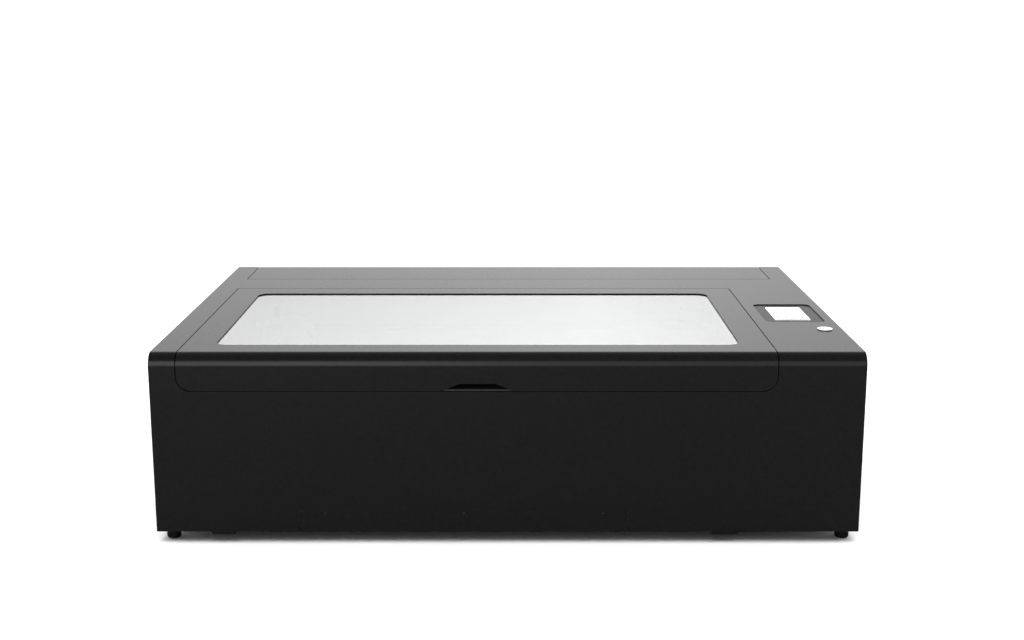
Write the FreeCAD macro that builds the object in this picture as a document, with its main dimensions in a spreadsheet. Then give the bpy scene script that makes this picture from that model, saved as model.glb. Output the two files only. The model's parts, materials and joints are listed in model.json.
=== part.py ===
import math
import os

import FreeCAD, Part, Sketcher

# Desktop laser cutter: a low steel cabinet with a hinged lid over the work chamber, a hinged
# cover over the laser tube, and a small touch screen and start button beside the lid.
# Millimetres. +X right, +Y to the back, +Z up; the origin is on the floor, midway between the
# sides, and midway between the front skin and the end of the exhaust spigot.

V = FreeCAD.Vector
doc = FreeCAD.newDocument("LaserCutter")

# ---------------------------------------------------------------- driving dimensions
SHEET = {
    # cabinet
    "body_width": 1100, "body_depth": 750, "body_height": 286, "foot_height": 22,
    "spigot_reach": 45, "skin": 1.5, "bend_radius": 20, "seam": 1.5, "fit_gap": 0.2,
    # lid over the work chamber
    "lid_centre": -47.15, "lid_width": 921.6, "lid_depth": 520.05, "apron_drop": 57.95,
    "apron_corner": 22, "lid_flange": 14, "lid_pivot_back": 24.75, "pivot_drop": 6,
    # window in the lid
    "window_centre": -47.3, "window_width": 824.2, "window_front": 62.9,
    "window_depth": 409.9, "window_corner": 20, "pane_thick": 4, "gasket_thick": 2,
    # finger recess in the lower edge of the apron
    "cup_centre": -46.2, "cup_low_width": 112, "cup_top_width": 55, "cup_rise": 11.2,
    "cup_depth": 22, "cup_wall": 2, "cup_height": 28,
    # lid hinges
    "hinge_spread": 600, "arm_width": 12, "arm_inner": 25.5, "arm_thick": 4,
    "knuckle_radius": 4.2, "pin_radius": 2, "running_gap": 0.05, "cheek_thick": 3,
    # cover over the laser tube
    "cover_half": 507.95, "cover_front": 616.45, "cover_flange": 14, "cover_pivot_in": 10,
    "cover_knuckle": 3, "cover_pin": 1.5, "cover_spread": 760,
    # touch screen and start button
    "screen_centre": 484.5, "pocket_width": 100, "pocket_front": 227.8, "pocket_depth": 146.9,
    "pocket_corner": 12, "pocket_sink": 1.8, "screen_width": 61, "screen_front": 245.9,
    "screen_depth": 110.8, "button_centre": 520.6, "button_back": 172, "button_stem": 10.5,
    "button_cap": 12.3, "button_ring": 12.5,
    # access panel, feet and rails
    "panel_left": -323.8, "panel_right": 188.7, "panel_height": 35.7, "panel_corner": 4,
    "foot_radius": 11, "foot_spread": 1064, "foot_inset": 36,
    "rail_left": -445.75, "rail_right": 340.7, "rail_width": 40.5, "rail_drop": 5.5,
    # work chamber
    "chamber_half": 439, "wall_thick": 1.5, "chamber_back": 560, "wall_top": 285,
    "bed_top": 170, "bed_thick": 12, "bed_half": 395, "bed_front": 50, "bed_back": 510,
    # gantry
    "guide_top": 210, "shelf_height": 196, "beam_half": 410, "beam_low": 205, "beam_high": 235,
    "beam_width": 40, "home_back": 485, "beam_height": 252, "head_left": -390,
    "head_width": 60, "head_front": 430, "lens_radius": 12, "nozzle_low": 180,
    "shaft_back": 535, "shaft_height": 185, "shaft_radius": 4, "pulley_radius": 8,
    "belt_width": 6, "belt_thick": 1.4, "x_pulley_radius": 6, "y_motor_width": 38,
    # laser tube, exhaust and electrics
    "tube_radius": 25, "tube_back": 668, "tube_left": -380, "tube_right": 470,
    "spigot_radius": 50, "spigot_wall": 2, "exhaust_height": 100, "blower_radius": 58,
    "blower_front": 640, "wheel_radius": 55, "axle_radius": 4,
    "inlet_centre": 430, "inlet_height": 80, "inlet_wide": 27, "inlet_high": 20,
    "switch_centre": 380, "switch_wide": 27, "switch_high": 21, "port_centre": 480,
    "port_height": 140,
    # gas struts beside the chamber walls
    "strut_half": 451, "strut_low_back": 510, "strut_low_height": 140,
    "strut_lid_back": 470, "strut_lid_height": 292, "strut_radius": 6, "strut_rod": 3,
}

sheet = doc.addObject("Spreadsheet::Sheet", "Dims")
for row, (alias, number) in enumerate(SHEET.items(), start=1):
    sheet.set(f"A{row}", alias)
    sheet.set(f"B{row}", str(number))
    sheet.setAlias(f"B{row}", alias)
doc.recompute()


class Size:
    """A length that carries its value together with the sheet formula behind it."""

    def __init__(self, value, formula):
        self.value = float(value)
        self.formula = formula

    def __add__(self, other):
        other = as_size(other)
        return Size(self.value + other.value, f"({self.formula} + {other.formula})")

    def __sub__(self, other):
        other = as_size(other)
        return Size(self.value - other.value, f"({self.formula} - {other.formula})")

    def __mul__(self, other):
        other = as_size(other)
        return Size(self.value * other.value, f"({self.formula} * {other.formula})")

    def __truediv__(self, other):
        other = as_size(other)
        return Size(self.value / other.value, f"({self.formula} / {other.formula})")

    def __neg__(self):
        return Size(-self.value, f"(0 - {self.formula})")

    def __rsub__(self, other):
        return as_size(other) - self

    __radd__ = __add__
    __rmul__ = __mul__


def as_size(length):
    return length if isinstance(length, Size) else Size(length, f"({float(length):.6f})")


class Dims:
    """The sheet's cells by name."""


for alias, number in SHEET.items():
    setattr(Dims, alias, Size(number, f"Dims.{alias}"))
D = Dims

# ---------------------------------------------------------------- main places
front = -(D.body_depth + D.spigot_reach) / 2
rear = front + D.body_depth
under = D.foot_height
top = D.foot_height + D.body_height
side = D.body_width / 2
deck_low = top - D.skin
floor_top = under + D.skin
lid_left = D.lid_centre - D.lid_width / 2
lid_right = D.lid_centre + D.lid_width / 2
lid_back = front + D.lid_depth
apron_low = top - D.apron_drop
lid_pivot_y = lid_back + D.lid_pivot_back
pivot_z = top - D.pivot_drop
window_left = D.window_centre - D.window_width / 2
window_right = D.window_centre + D.window_width / 2
window_y = front + D.window_front
window_back = window_y + D.window_depth
pane_high = deck_low - D.gasket_thick
pane_low = pane_high - D.pane_thick
cover_y = front + D.cover_front
cover_pivot_y = rear - D.cover_pivot_in
wall_left = D.lid_centre - D.chamber_half
wall_right = D.lid_centre + D.chamber_half
beam_left = D.lid_centre - D.beam_half
beam_right = D.lid_centre + D.beam_half
home_y = front + D.home_back
beam_front = home_y - D.beam_width / 2
beam_rear = home_y + D.beam_width / 2
shaft_y = front + D.shaft_back
tube_y = front + D.tube_back
pocket_left = D.screen_centre - D.pocket_width / 2
pocket_right = D.screen_centre + D.pocket_width / 2
pocket_y = front + D.pocket_front
pocket_end = pocket_y + D.pocket_depth
button_y = front + D.button_back


# ---------------------------------------------------------------- building blocks
def bind(thing, slot, length):
    thing.setExpression(slot, as_size(length).formula)


def new(kind, label):
    thing = doc.addObject(kind, label)
    thing.Label = label
    return thing


def put(thing, x, y, z):
    for axis, length in zip("xyz", (x, y, z)):
        bind(thing, f"Placement.Base.{axis}", length)
    return thing


def box(label, x, y, z):
    """A block between two places on each axis."""
    block = new("Part::Box", label)
    for slot, (low, high) in zip(("Length", "Width", "Height"), (x, y, z)):
        bind(block, slot, as_size(high) - as_size(low))
    return put(block, x[0], y[0], z[0])


TURNS = {
    "x": FreeCAD.Rotation(V(0, 1, 0), 90),
    "y": FreeCAD.Rotation(V(1, 0, 0), -90),
    "z": FreeCAD.Rotation(),
}


def rod(label, axis, across, span, radius):
    """A cylinder along an axis; across gives its place on the other two axes, in x, y, z order."""
    bar = new("Part::Cylinder", label)
    bar.Placement = FreeCAD.Placement(V(), TURNS[axis])
    bind(bar, "Radius", radius)
    bind(bar, "Height", as_size(span[1]) - as_size(span[0]))
    place = {"x": (span[0], *across), "y": (across[0], span[0], across[1]), "z": (*across, span[0])}
    return put(bar, *place[axis])


def fuse(label, *pieces):
    joined = new("Part::MultiFuse", label)
    joined.Shapes = list(pieces)
    joined.Refine = True
    return joined


def group(label, *pieces):
    """Separate solids that share one node."""
    together = new("Part::Compound", label)
    together.Links = list(pieces)
    return together


def cut(label, base, *tools):
    result = new("Part::Cut", label)
    result.Base = base
    result.Tool = tools[0] if len(tools) == 1 else group(label + "_tools", *tools)
    return result


def sign(number):
    return (number > 1e-6) - (number < -1e-6)


def pin_point(sketch, element, end, u, v):
    """Hold one end of a sketch element at a place given by the sheet."""
    for kind, length in (("DistanceX", u), ("DistanceY", v)):
        index = sketch.addConstraint(Sketcher.Constraint(kind, -1, 1, element, end, length.value))
        sketch.setExpression(f"Constraints[{index}]", length.formula)


def add_circle(sketch, u, v, radius):
    u, v, radius = as_size(u), as_size(v), as_size(radius)
    ring = Part.Circle(V(u.value, v.value, 0), V(0, 0, 1), radius.value)
    element = sketch.addGeometry(ring, False)
    pin_point(sketch, element, 3, u, v)
    index = sketch.addConstraint(Sketcher.Constraint("Radius", element, radius.value))
    sketch.setExpression(f"Constraints[{index}]", radius.formula)


def add_outline(sketch, corners):
    """A closed outline. A corner is (u, v) when sharp, or (u, v, radius) between square edges."""
    corners = [tuple(as_size(number) for number in corner) for corner in corners]
    count = len(corners)
    arrive, leave, turns = [], [], []
    for i, corner in enumerate(corners):
        u, v = corner[0], corner[1]
        before, after = corners[i - 1], corners[(i + 1) % count]
        back = [sign(before[k].value - corner[k].value) for k in (0, 1)]
        ahead = [sign(after[k].value - corner[k].value) for k in (0, 1)]
        turns.append(-(back[0] * ahead[1] - back[1] * ahead[0]))
        if len(corner) == 3:
            arrive.append((u + corner[2] * back[0], v + corner[2] * back[1]))
            leave.append((u + corner[2] * ahead[0], v + corner[2] * ahead[1]))
        else:
            arrive.append((u, v))
            leave.append((u, v))
    lines = []
    for i in range(count):
        start, end = leave[i], arrive[(i + 1) % count]
        edge = Part.LineSegment(V(start[0].value, start[1].value, 0), V(end[0].value, end[1].value, 0))
        lines.append(sketch.addGeometry(edge, False))
        pin_point(sketch, lines[-1], 1, *start)
    for i, corner in enumerate(corners):
        if len(corner) == 2:
            sketch.addConstraint(Sketcher.Constraint("Coincident", lines[i - 1], 2, lines[i], 1))
            continue
        pin_point(sketch, lines[i - 1], 2, *arrive[i])
        heart_u = arrive[i][0].value + leave[i][0].value - corner[0].value
        heart_v = arrive[i][1].value + leave[i][1].value - corner[1].value
        first, last = (arrive[i], leave[i]) if turns[i] > 0 else (leave[i], arrive[i])
        angles = [math.atan2(p[1].value - heart_v, p[0].value - heart_u) for p in (first, last)]
        if angles[1] < angles[0]:
            angles[1] += 2 * math.pi
        circle = Part.Circle(V(heart_u, heart_v, 0), V(0, 0, 1), corner[2].value)
        arc = sketch.addGeometry(Part.ArcOfCircle(circle, angles[0], angles[1]), False)
        arrive_end, leave_end = (1, 2) if turns[i] > 0 else (2, 1)
        sketch.addConstraint(Sketcher.Constraint("Coincident", lines[i - 1], 2, arc, arrive_end))
        sketch.addConstraint(Sketcher.Constraint("Coincident", lines[i], 1, arc, leave_end))
        index = sketch.addConstraint(Sketcher.Constraint("Radius", arc, corner[2].value))
        sketch.setExpression(f"Constraints[{index}]", corner[2].formula)


def sketch_in(body, plane, offset, loops):
    sketch = body.newObject("Sketcher::SketchObject", body.Label + "_sketch")
    base = next(part for part in body.Origin.OriginFeatures if part.Role == plane + "_Plane")
    sketch.AttachmentSupport = [(base, "")]
    sketch.MapMode = "FlatFace"
    bind(sketch, "AttachmentOffset.Base.z", offset)
    for loop in loops:
        if loop[0] == "circle":
            add_circle(sketch, *loop[1:])
        else:
            add_outline(sketch, loop)
    return sketch


def prism(label, plane, loops, span):
    """A padded sketch. Loops after the first are holes; span is the extent across the plane."""
    body = new("PartDesign::Body", label)
    low, high = as_size(span[0]), as_size(span[1])
    offset = -high if plane == "XZ" else low
    sketch = sketch_in(body, plane, offset, loops)
    pad = body.newObject("PartDesign::Pad", label + "_pad")
    pad.Profile = sketch
    bind(pad, "Length", high - low)
    return body


def turned(label, profile, x, y, z, axis="z"):
    """A lathe-turned piece: the profile is (radius, height) corners about the given axis."""
    body = new("PartDesign::Body", label)
    sketch = sketch_in(body, "XZ", 0, [profile])
    spin = body.newObject("PartDesign::Revolution", label + "_turn")
    spin.Profile = sketch
    spin.ReferenceAxis = (sketch, ["V_Axis"])
    spin.Angle = 360
    body.Placement = FreeCAD.Placement(V(), TURNS[axis])
    return put(body, x, y, z)


def rectangle(low_u, high_u, low_v, high_v, corner=None):
    rounded = () if corner is None else (corner,)
    points = [(low_u, low_v), (high_u, low_v), (high_u, high_v), (low_u, high_v)]
    return [point + rounded for point in points]


NODES = []
hinge_pins = []


def node(piece):
    NODES.append(piece)
    return piece


# ---------------------------------------------------------------- cabinet
def bent_sheet(label, x, y_front, y_back, z_low, z_high, radius):
    """Top and front in one sheet, bent over the front edge."""
    inner = radius - D.skin
    outline = [
        (y_front, z_low), (y_front + D.skin, z_low),
        (y_front + D.skin, z_high - D.skin, inner), (y_back, z_high - D.skin),
        (y_back, z_high), (y_front, z_high, radius),
    ]
    return prism(label, "YZ", [outline], x)


def outer_shell():
    blank = bent_sheet("outer_shell_blank", (-side, side), front, rear, under, top, D.bend_radius)
    lid_hole = rectangle(lid_left - D.seam, lid_right + D.seam, apron_low - D.seam, top + D.skin)
    corner = D.apron_corner + D.seam
    lid_hole = [lid_hole[0] + (corner,), lid_hole[1] + (corner,), *lid_hole[2:]]
    lid_cut = prism("lid_cut", "XZ", [lid_hole], (front - D.skin, lid_back + D.seam))
    edge = D.cover_half + D.seam
    cover_cut = box("cover_cut", (-edge, edge), (cover_y - D.seam, rear + D.skin),
                    (deck_low - D.skin, top + D.skin))
    hole = rectangle(pocket_left, pocket_right, pocket_y, pocket_end, D.pocket_corner)
    screen_cut = prism("screen_cut", "XY", [hole], (deck_low - D.skin, top + D.skin))
    button_cut = rod("button_cut", "z", (D.button_centre, button_y),
                     (deck_low - D.skin, top + D.skin), D.button_ring - 1)
    low, high = under - D.skin, under + D.panel_height
    gap = D.fit_gap
    panel_hole = [
        (D.panel_left - gap, low), (D.panel_right + gap, low),
        (D.panel_right + gap, high + gap, D.panel_corner),
        (D.panel_left - gap, high + gap, D.panel_corner),
    ]
    panel_cut = prism("panel_cut", "XZ", [panel_hole], (front - D.skin, front + D.skin * 2))
    return cut("outer_shell", blank, lid_cut, cover_cut, screen_cut, button_cut, panel_cut)


def side_panel(label, x):
    """Flat end panel inside the bent sheet, with a bank of air slots low at the back."""
    inset = D.skin + D.fit_gap
    first_slot, slot_pitch, slot_wide = 560, 18, 6
    outline = [
        (front + inset, floor_top), (rear - inset, floor_top),
        (rear - inset, top - inset), (front + inset, top - inset, D.bend_radius - inset),
    ]
    slots = []
    for i in range(8):
        start = front + first_slot + slot_pitch * i
        slots.append(rectangle(start, start + slot_wide, under + 60, under + 130, 2.9))
    return prism(label, "YZ", [outline, *slots], x)


def rear_panel():
    inset = D.skin + D.fit_gap
    low_edge = top - 16.5
    step = D.cover_half + D.seam
    outline = [
        (-side + inset, floor_top), (side - inset, floor_top), (side - inset, deck_low - D.fit_gap),
        (step, deck_low - D.fit_gap), (step, low_edge), (-step, low_edge),
        (-step, deck_low - D.fit_gap), (-side + inset, deck_low - D.fit_gap),
    ]
    holes = [("circle", 0, D.exhaust_height, D.spigot_radius + 0.8)]
    for centre, wide, high in (
        (D.inlet_centre, D.inlet_wide, D.inlet_high), (D.switch_centre, D.switch_wide, D.switch_high),
    ):
        holes.append(rectangle(centre - wide / 2, centre + wide / 2,
                               D.inlet_height - high / 2, D.inlet_height + high / 2))
    holes.append(rectangle(D.port_centre - 25, D.port_centre + 25, D.port_height - 9, D.port_height + 9))
    first_slot, slot_pitch, slot_wide = -460, 26, 6
    for i in range(10):
        start = first_slot + slot_pitch * i
        holes.append(rectangle(start, start + slot_wide, 60, 120, 2.9))
    return prism("rear_panel", "XZ", [outline, *holes], (rear - D.skin, rear))


def base_pan():
    plate = box("base_plate", (-side + D.skin, side - D.skin), (front + D.skin, rear - D.skin - D.fit_gap),
                (under, floor_top))
    sunk = box("base_sunk_panel", (-425, 291), (front + 5, front + 600), (under - D.skin, under))
    return fuse("base_pan", plate, sunk)


def base_rail(label, centre):
    half = D.rail_width / 2
    outline = [
        (centre - half, under), (centre - half + 2, under - D.rail_drop),
        (centre + half - 2, under - D.rail_drop), (centre + half, under),
    ]
    return prism(label, "XZ", [outline], (front + 2, rear - 20))


def foot(label, x, y):
    """Turned rubber foot with a rounded tread."""
    profile = [(0, 0), (D.foot_radius, 0, 4), (D.foot_radius, D.foot_height), (0, D.foot_height)]
    return turned(label, profile, x, y, 0)


def access_panel():
    outline = [
        (D.panel_left, under), (D.panel_right, under),
        (D.panel_right, under + D.panel_height, D.panel_corner),
        (D.panel_left, under + D.panel_height, D.panel_corner),
    ]
    face = prism("access_face", "XZ", [outline], (front, front + D.skin))
    tabs, screws, holes = [], [], []
    middle = (D.panel_left + D.panel_right) / 2
    reach = (D.panel_right - D.panel_left) / 2 - 38.9
    height = under + D.panel_height - 7.3
    for i in (-1, 0, 1):
        x = middle + reach * i
        tabs.append(box(f"access_tab_{i + 2}", (x - 10, x + 10), (front + D.skin, front + D.skin * 2),
                        (height - 8, height + 16)))
        head = rod(f"panel_screw_head_{i + 2}", "y", (x, height), (front - 0.4, front), 2.6)
        shank = rod(f"panel_screw_shank_{i + 2}", "y", (x, height), (front, front + 8), 1.5)
        screws.append(fuse(f"panel_screw_{i + 2}", head, shank))
        holes.append(rod(f"panel_screw_hole_{i + 2}", "y", (x, height), (front - 1, front + 9), 1.5))
    node(cut("access_panel", fuse("access_blank", face, *tabs), *holes))
    node(group("panel_screws", *screws))


node(outer_shell())
node(side_panel("left_side_panel", (-side, -side + D.skin)))
node(side_panel("right_side_panel", (side - D.skin, side)))
node(rear_panel())
node(base_pan())
node(base_rail("left_base_rail", D.rail_left))
node(base_rail("right_base_rail", D.rail_right))
for depth_name, foot_y in (("front", front + D.foot_inset), ("rear", rear - D.foot_inset)):
    for side_name, foot_x in (("left", -D.foot_spread / 2), ("right", D.foot_spread / 2)):
        node(foot(f"{depth_name}_{side_name}_foot", foot_x, foot_y))
access_panel()


# ---------------------------------------------------------------- lid
def lid_shell():
    blank = bent_sheet("lid_blank", (lid_left, lid_right), front, lid_back, apron_low, top, D.bend_radius)
    window = rectangle(window_left, window_right, window_y, window_back, D.window_corner)
    window_cut = prism("window_cut", "XY", [window], (deck_low - D.skin, top + D.skin))
    # the apron's lower corners are rounded, and its lower edge has the finger recess
    around = rectangle(lid_left - 1, lid_right + 1, apron_low - 1, top + 1)
    apron = [
        (lid_left, apron_low, D.apron_corner), (lid_right, apron_low, D.apron_corner),
        (lid_right, top + 0.5), (lid_left, top + 0.5),
    ]
    corner_cut = prism("apron_corner_cut", "XZ", [around, apron], (front - 1, front + D.skin + 0.5))
    low, high = D.cup_low_width / 2, D.cup_top_width / 2
    recess = [
        (D.cup_centre - low, apron_low - 1), (D.cup_centre + low, apron_low - 1),
        (D.cup_centre + low, apron_low), (D.cup_centre + high, apron_low + D.cup_rise),
        (D.cup_centre - high, apron_low + D.cup_rise), (D.cup_centre - low, apron_low),
    ]
    recess_cut = prism("recess_cut", "XZ", [recess], (front - 1, front + D.skin + 0.5))
    sheet_part = cut("lid_sheet", blank, window_cut, corner_cut, recess_cut)
    flanges = []
    for name, x in (("left", (lid_left, lid_left + D.skin)), ("right", (lid_right - D.skin, lid_right))):
        flanges.append(box(f"lid_{name}_flange", x, (front + D.bend_radius, lid_back - 40),
                           (top - D.lid_flange, deck_low)))
    # one tab beside each gas strut's eye
    tabs = []
    eye_y = front + D.strut_lid_back
    for name, way in (("left", -1), ("right", 1)):
        outer = D.lid_centre + (D.strut_half - 3.4) * way
        inner = D.lid_centre + (D.strut_half - 5.4) * way
        tabs.append(box(f"lid_{name}_strut_tab", (outer, inner) if way < 0 else (inner, outer),
                        (eye_y - 10, eye_y + 10), (D.strut_lid_height - 9, deck_low)))
    return fuse("lid_shell", sheet_part, *flanges, *tabs)


def lid_frame():
    """Folded ring under the lid that stiffens it and carries the pane."""
    outer = rectangle(window_left - 16, window_right + 16, window_y - 16, window_back + 12, 24)
    inner = rectangle(window_left + 4, window_right - 4, window_y + 4, window_back - 4, 16)
    ledge = prism("lid_frame_ledge", "XY", [outer, inner], (pane_low - 2, pane_low))
    outside = rectangle(window_left - 14, window_right + 14, window_y - 14, window_back + 12, 26)
    inside = rectangle(window_left - 12, window_right + 12, window_y - 12, window_back + 10, 24)
    upright = prism("lid_frame_upright", "XY", [outside, inside], (pane_low, deck_low))
    return fuse("lid_frame", ledge, upright)


def finger_cup():
    """Dished moulding behind the apron that gives the fingers room."""
    half = D.cup_low_width / 2 + 6
    wall = D.cup_wall
    y = (front + D.skin, front + D.cup_depth)
    block = box("finger_cup_block", (D.cup_centre - half, D.cup_centre + half), y,
                (apron_low, apron_low + D.cup_height))
    space = [
        (D.cup_centre - half + wall, apron_low + wall), (D.cup_centre + half - wall, apron_low + wall),
        (D.cup_centre + half - wall, apron_low + D.cup_height - wall, 8),
        (D.cup_centre - half + wall, apron_low + D.cup_height - wall, 8),
    ]
    hollow = prism("finger_cup_hollow", "XZ", [space], (front, front + D.cup_depth - wall))
    return cut("finger_cup", block, hollow)


def hinge_arm(label, x):
    """Gooseneck arm: pad under the lid, arc about the pin, and knuckle."""
    outer_radius = D.arm_inner + D.arm_thick
    half = D.arm_width / 2
    span = (x - half, x + half)
    disc = rod(label + "_disc", "x", (lid_pivot_y, pivot_z), span, outer_radius)
    bore = rod(label + "_disc_bore", "x", (lid_pivot_y, pivot_z), (span[0] - 1, span[1] + 1), D.arm_inner)
    ring = cut(label + "_ring", disc, bore)
    # keep only the forward lower quarter of the ring, from under the pin to the pad
    window = box(label + "_quarter", span, (lid_pivot_y - outer_radius - 1, lid_pivot_y + 1.5),
                 (pivot_z - outer_radius - 1, deck_low - D.skin - D.fit_gap))
    arc = new("Part::Common", label + "_arc")
    arc.Base, arc.Tool = ring, window
    pad = box(label + "_pad", span, (lid_pivot_y - outer_radius - 28, lid_pivot_y - D.arm_inner - 1),
              (deck_low - 2, deck_low))
    web = box(label + "_web", span, (lid_pivot_y - 1.5, lid_pivot_y + 1.5),
              (pivot_z - D.arm_inner - 2, pivot_z))
    knuckle = rod(label + "_knuckle", "x", (lid_pivot_y, pivot_z), span, D.knuckle_radius)
    solid = fuse(label + "_solid", arc, pad, web, knuckle)
    pin_hole = rod(label + "_pin_hole", "x", (lid_pivot_y, pivot_z), (span[0] - 1, span[1] + 1),
                   D.pin_radius + D.running_gap)
    return cut(label, solid, pin_hole)


def hinge_bracket(label, x):
    """Two cheeks hung from the deck strip, joined by a plate under it."""
    inner = D.arm_width / 2 + 0.5
    outer = inner + D.cheek_thick
    cheeks = []
    for name, span in (("left", (x - outer, x - inner)), ("right", (x + inner, x + outer))):
        cheeks.append(box(f"{label}_{name}_cheek", span, (lid_pivot_y - 5, lid_pivot_y + 14),
                          (pivot_z - 6, deck_low)))
    plate = box(label + "_plate", (x - outer, x + outer), (lid_pivot_y + 6, lid_pivot_y + 30),
                (deck_low - 3, deck_low))
    hole = rod(label + "_hole", "x", (lid_pivot_y, pivot_z), (x - outer - 1, x + outer + 1), D.pin_radius)
    return cut(label, fuse(label + "_blank", plate, *cheeks), hole)


def lid_hinges():
    arms, brackets, pins = [], [], []
    for name, way in (("left", -1), ("right", 1)):
        x = D.lid_centre + D.hinge_spread / 2 * way
        arms.append(hinge_arm(f"{name}_lid_arm", x))
        brackets.append(hinge_bracket(f"{name}_lid_bracket", x))
        reach = D.arm_width / 2 + 0.5 + D.cheek_thick
        pins.append(rod(f"{name}_lid_pin", "x", (lid_pivot_y, pivot_z), (x - reach, x + reach), D.pin_radius))
    node(group("lid_hinge_arms", *arms))
    node(group("lid_hinge_brackets", *brackets))
    hinge_pins.extend(pins)


node(lid_shell())
node(lid_frame())
pane_outline = rectangle(window_left - 10, window_right + 10, window_y - 10, window_back + 8, 22)
node(prism("lid_window", "XY", [pane_outline], (pane_low, pane_high)))
gasket_outer = rectangle(window_left - 8, window_right + 8, window_y - 8, window_back + 8, 22)
gasket_inner = rectangle(window_left + 2, window_right - 2, window_y + 2, window_back - 2, 18)
node(prism("window_gasket", "XY", [gasket_outer, gasket_inner], (pane_high, deck_low)))
node(finger_cup())
lid_hinges()


# ---------------------------------------------------------------- cover over the laser tube
def rear_cover():
    skin_part = box("rear_cover_skin", (-D.cover_half, D.cover_half), (cover_y, rear), (deck_low, top))
    flange = box("rear_cover_flange", (-D.cover_half, D.cover_half), (rear - D.skin, rear),
                 (top - D.cover_flange, deck_low))
    lip = box("rear_cover_lip", (-D.cover_half + 30, D.cover_half - 30), (cover_y + 4, cover_y + 4 + D.skin),
              (deck_low - 8, deck_low))
    knuckles, bores = [], []
    for name, way in (("left", -1), ("right", 1)):
        x = D.cover_spread / 2 * way
        leaf = box(f"{name}_cover_leaf", (x - 8, x + 8), (cover_pivot_y - 2.5, cover_pivot_y + 2.5),
                   (pivot_z, deck_low))
        barrel = rod(f"{name}_cover_barrel", "x", (cover_pivot_y, pivot_z), (x - 8, x + 8), D.cover_knuckle)
        knuckles += [leaf, barrel]
        bores.append(rod(f"{name}_cover_bore", "x", (cover_pivot_y, pivot_z), (x - 9, x + 9),
                         D.cover_pin + D.running_gap))
    return cut("rear_cover", fuse("rear_cover_blank", skin_part, flange, lip, *knuckles), *bores)


def cover_hinges():
    brackets, pins = [], []
    for name, way in (("left", -1), ("right", 1)):
        x = D.cover_spread / 2 * way
        for i, span in enumerate(((x - 11.5, x - 8.5), (x + 8.5, x + 11.5))):
            outline = [
                (cover_pivot_y + 3, pivot_z - 3), (cover_pivot_y + 3, pivot_z + 3),
                (cover_pivot_y - 44, pivot_z + 3), (cover_pivot_y - 44, pivot_z - 46),
                (rear - D.skin, pivot_z - 46), (rear - D.skin, pivot_z - 40),
                (cover_pivot_y - 38, pivot_z - 40), (cover_pivot_y - 38, pivot_z - 3),
            ]
            plate = prism(f"{name}_cover_plate_{i + 1}", "YZ", [outline], span)
            hole = rod(f"{name}_cover_hole_{i + 1}", "x", (cover_pivot_y, pivot_z),
                       (span[0] - 1, span[1] + 1), D.cover_pin)
            brackets.append(cut(f"{name}_cover_bracket_{i + 1}", plate, hole))
        pins.append(rod(f"{name}_cover_pin", "x", (cover_pivot_y, pivot_z), (x - 11.5, x + 11.5),
                        D.cover_pin))
    node(group("cover_hinge_brackets", *brackets))
    hinge_pins.extend(pins)


node(rear_cover())
cover_hinges()


# ---------------------------------------------------------------- work chamber
def chamber():
    y = (front + 30, front + D.chamber_back)
    z = (floor_top, D.wall_top)
    boss = rod("shaft_boss", "x", (shaft_y, D.shaft_height), (wall_left, wall_left + 14), 9)
    left = box("chamber_left_sheet", (wall_left - D.wall_thick, wall_left), y, z)
    bore = rod("shaft_bore", "x", (shaft_y, D.shaft_height), (wall_left - 1, wall_left + 15),
               D.shaft_radius + D.running_gap)
    node(cut("chamber_left_wall", fuse("chamber_left_blank", left, boss), bore))
    right = box("chamber_right_sheet", (wall_right, wall_right + D.wall_thick), y, z)
    pass_hole = rod("shaft_pass", "x", (shaft_y, D.shaft_height), (wall_right - 1, wall_right + 5), 8)
    node(cut("chamber_right_wall", right, pass_hole))
    outline = rectangle(wall_left - D.wall_thick, wall_right + D.wall_thick, floor_top, D.wall_top)
    beam_hole = ("circle", -440, D.beam_height, 12)
    slots = []
    for i in range(6):
        start = -72 + 25 * i
        slots.append(rectangle(start, start + 14, 60, 140, 6.9))
    back = (front + D.chamber_back, front + D.chamber_back + D.wall_thick)
    node(prism("chamber_rear_wall", "XZ", [outline, beam_hole, *slots], back))


def crumb_tray():
    """Shallow pull-out tray that catches off-cuts under the bed."""
    x, y, z = (-400, 280), (front + 12, front + 500), (floor_top + 0.5, floor_top + 26)
    block = box("crumb_block", x, y, z)
    hollow = box("crumb_hollow", (x[0] + 1.2, x[1] - 1.2), (y[0] + 1.2, y[1] - 1.2), (z[0] + 1.2, z[1] + 1))
    return cut("crumb_tray", block, hollow)


def work_bed():
    """Flat support for the work, on a frame that rests on the chamber walls."""
    x = (D.lid_centre - D.bed_half, D.lid_centre + D.bed_half)
    y = (front + D.bed_front, front + D.bed_back)
    plate = box("bed_plate", x, y, (D.bed_top - D.bed_thick, D.bed_top))
    ties = []
    for i, back in enumerate((80, 270, 460)):
        ties.append(box(f"bed_tie_{i + 1}", (wall_left, wall_right), (front + back, front + back + 20),
                        (D.bed_top - D.bed_thick - 6, D.bed_top - D.bed_thick)))
    return fuse("work_bed", plate, *ties)


chamber()
node(crumb_tray())
node(work_bed())


# ---------------------------------------------------------------- gantry
def guide_rail(label, way):
    """Shelf on the chamber wall with a square guide rail on it."""
    wall = D.lid_centre + D.chamber_half * way
    inner = D.lid_centre + (D.chamber_half - 28) * way
    rail = D.lid_centre + (D.chamber_half - 14.5) * way
    x = (wall, inner) if way < 0 else (inner, wall)
    shelf = box(label + "_shelf", x, (front + 32, front + 520), (D.shelf_height, D.shelf_height + 4))
    guide = box(label + "_guide", (rail - 7.5, rail + 7.5), (front + 40, front + 515),
                (D.shelf_height + 4, D.guide_top))
    return fuse(label, shelf, guide)


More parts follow.
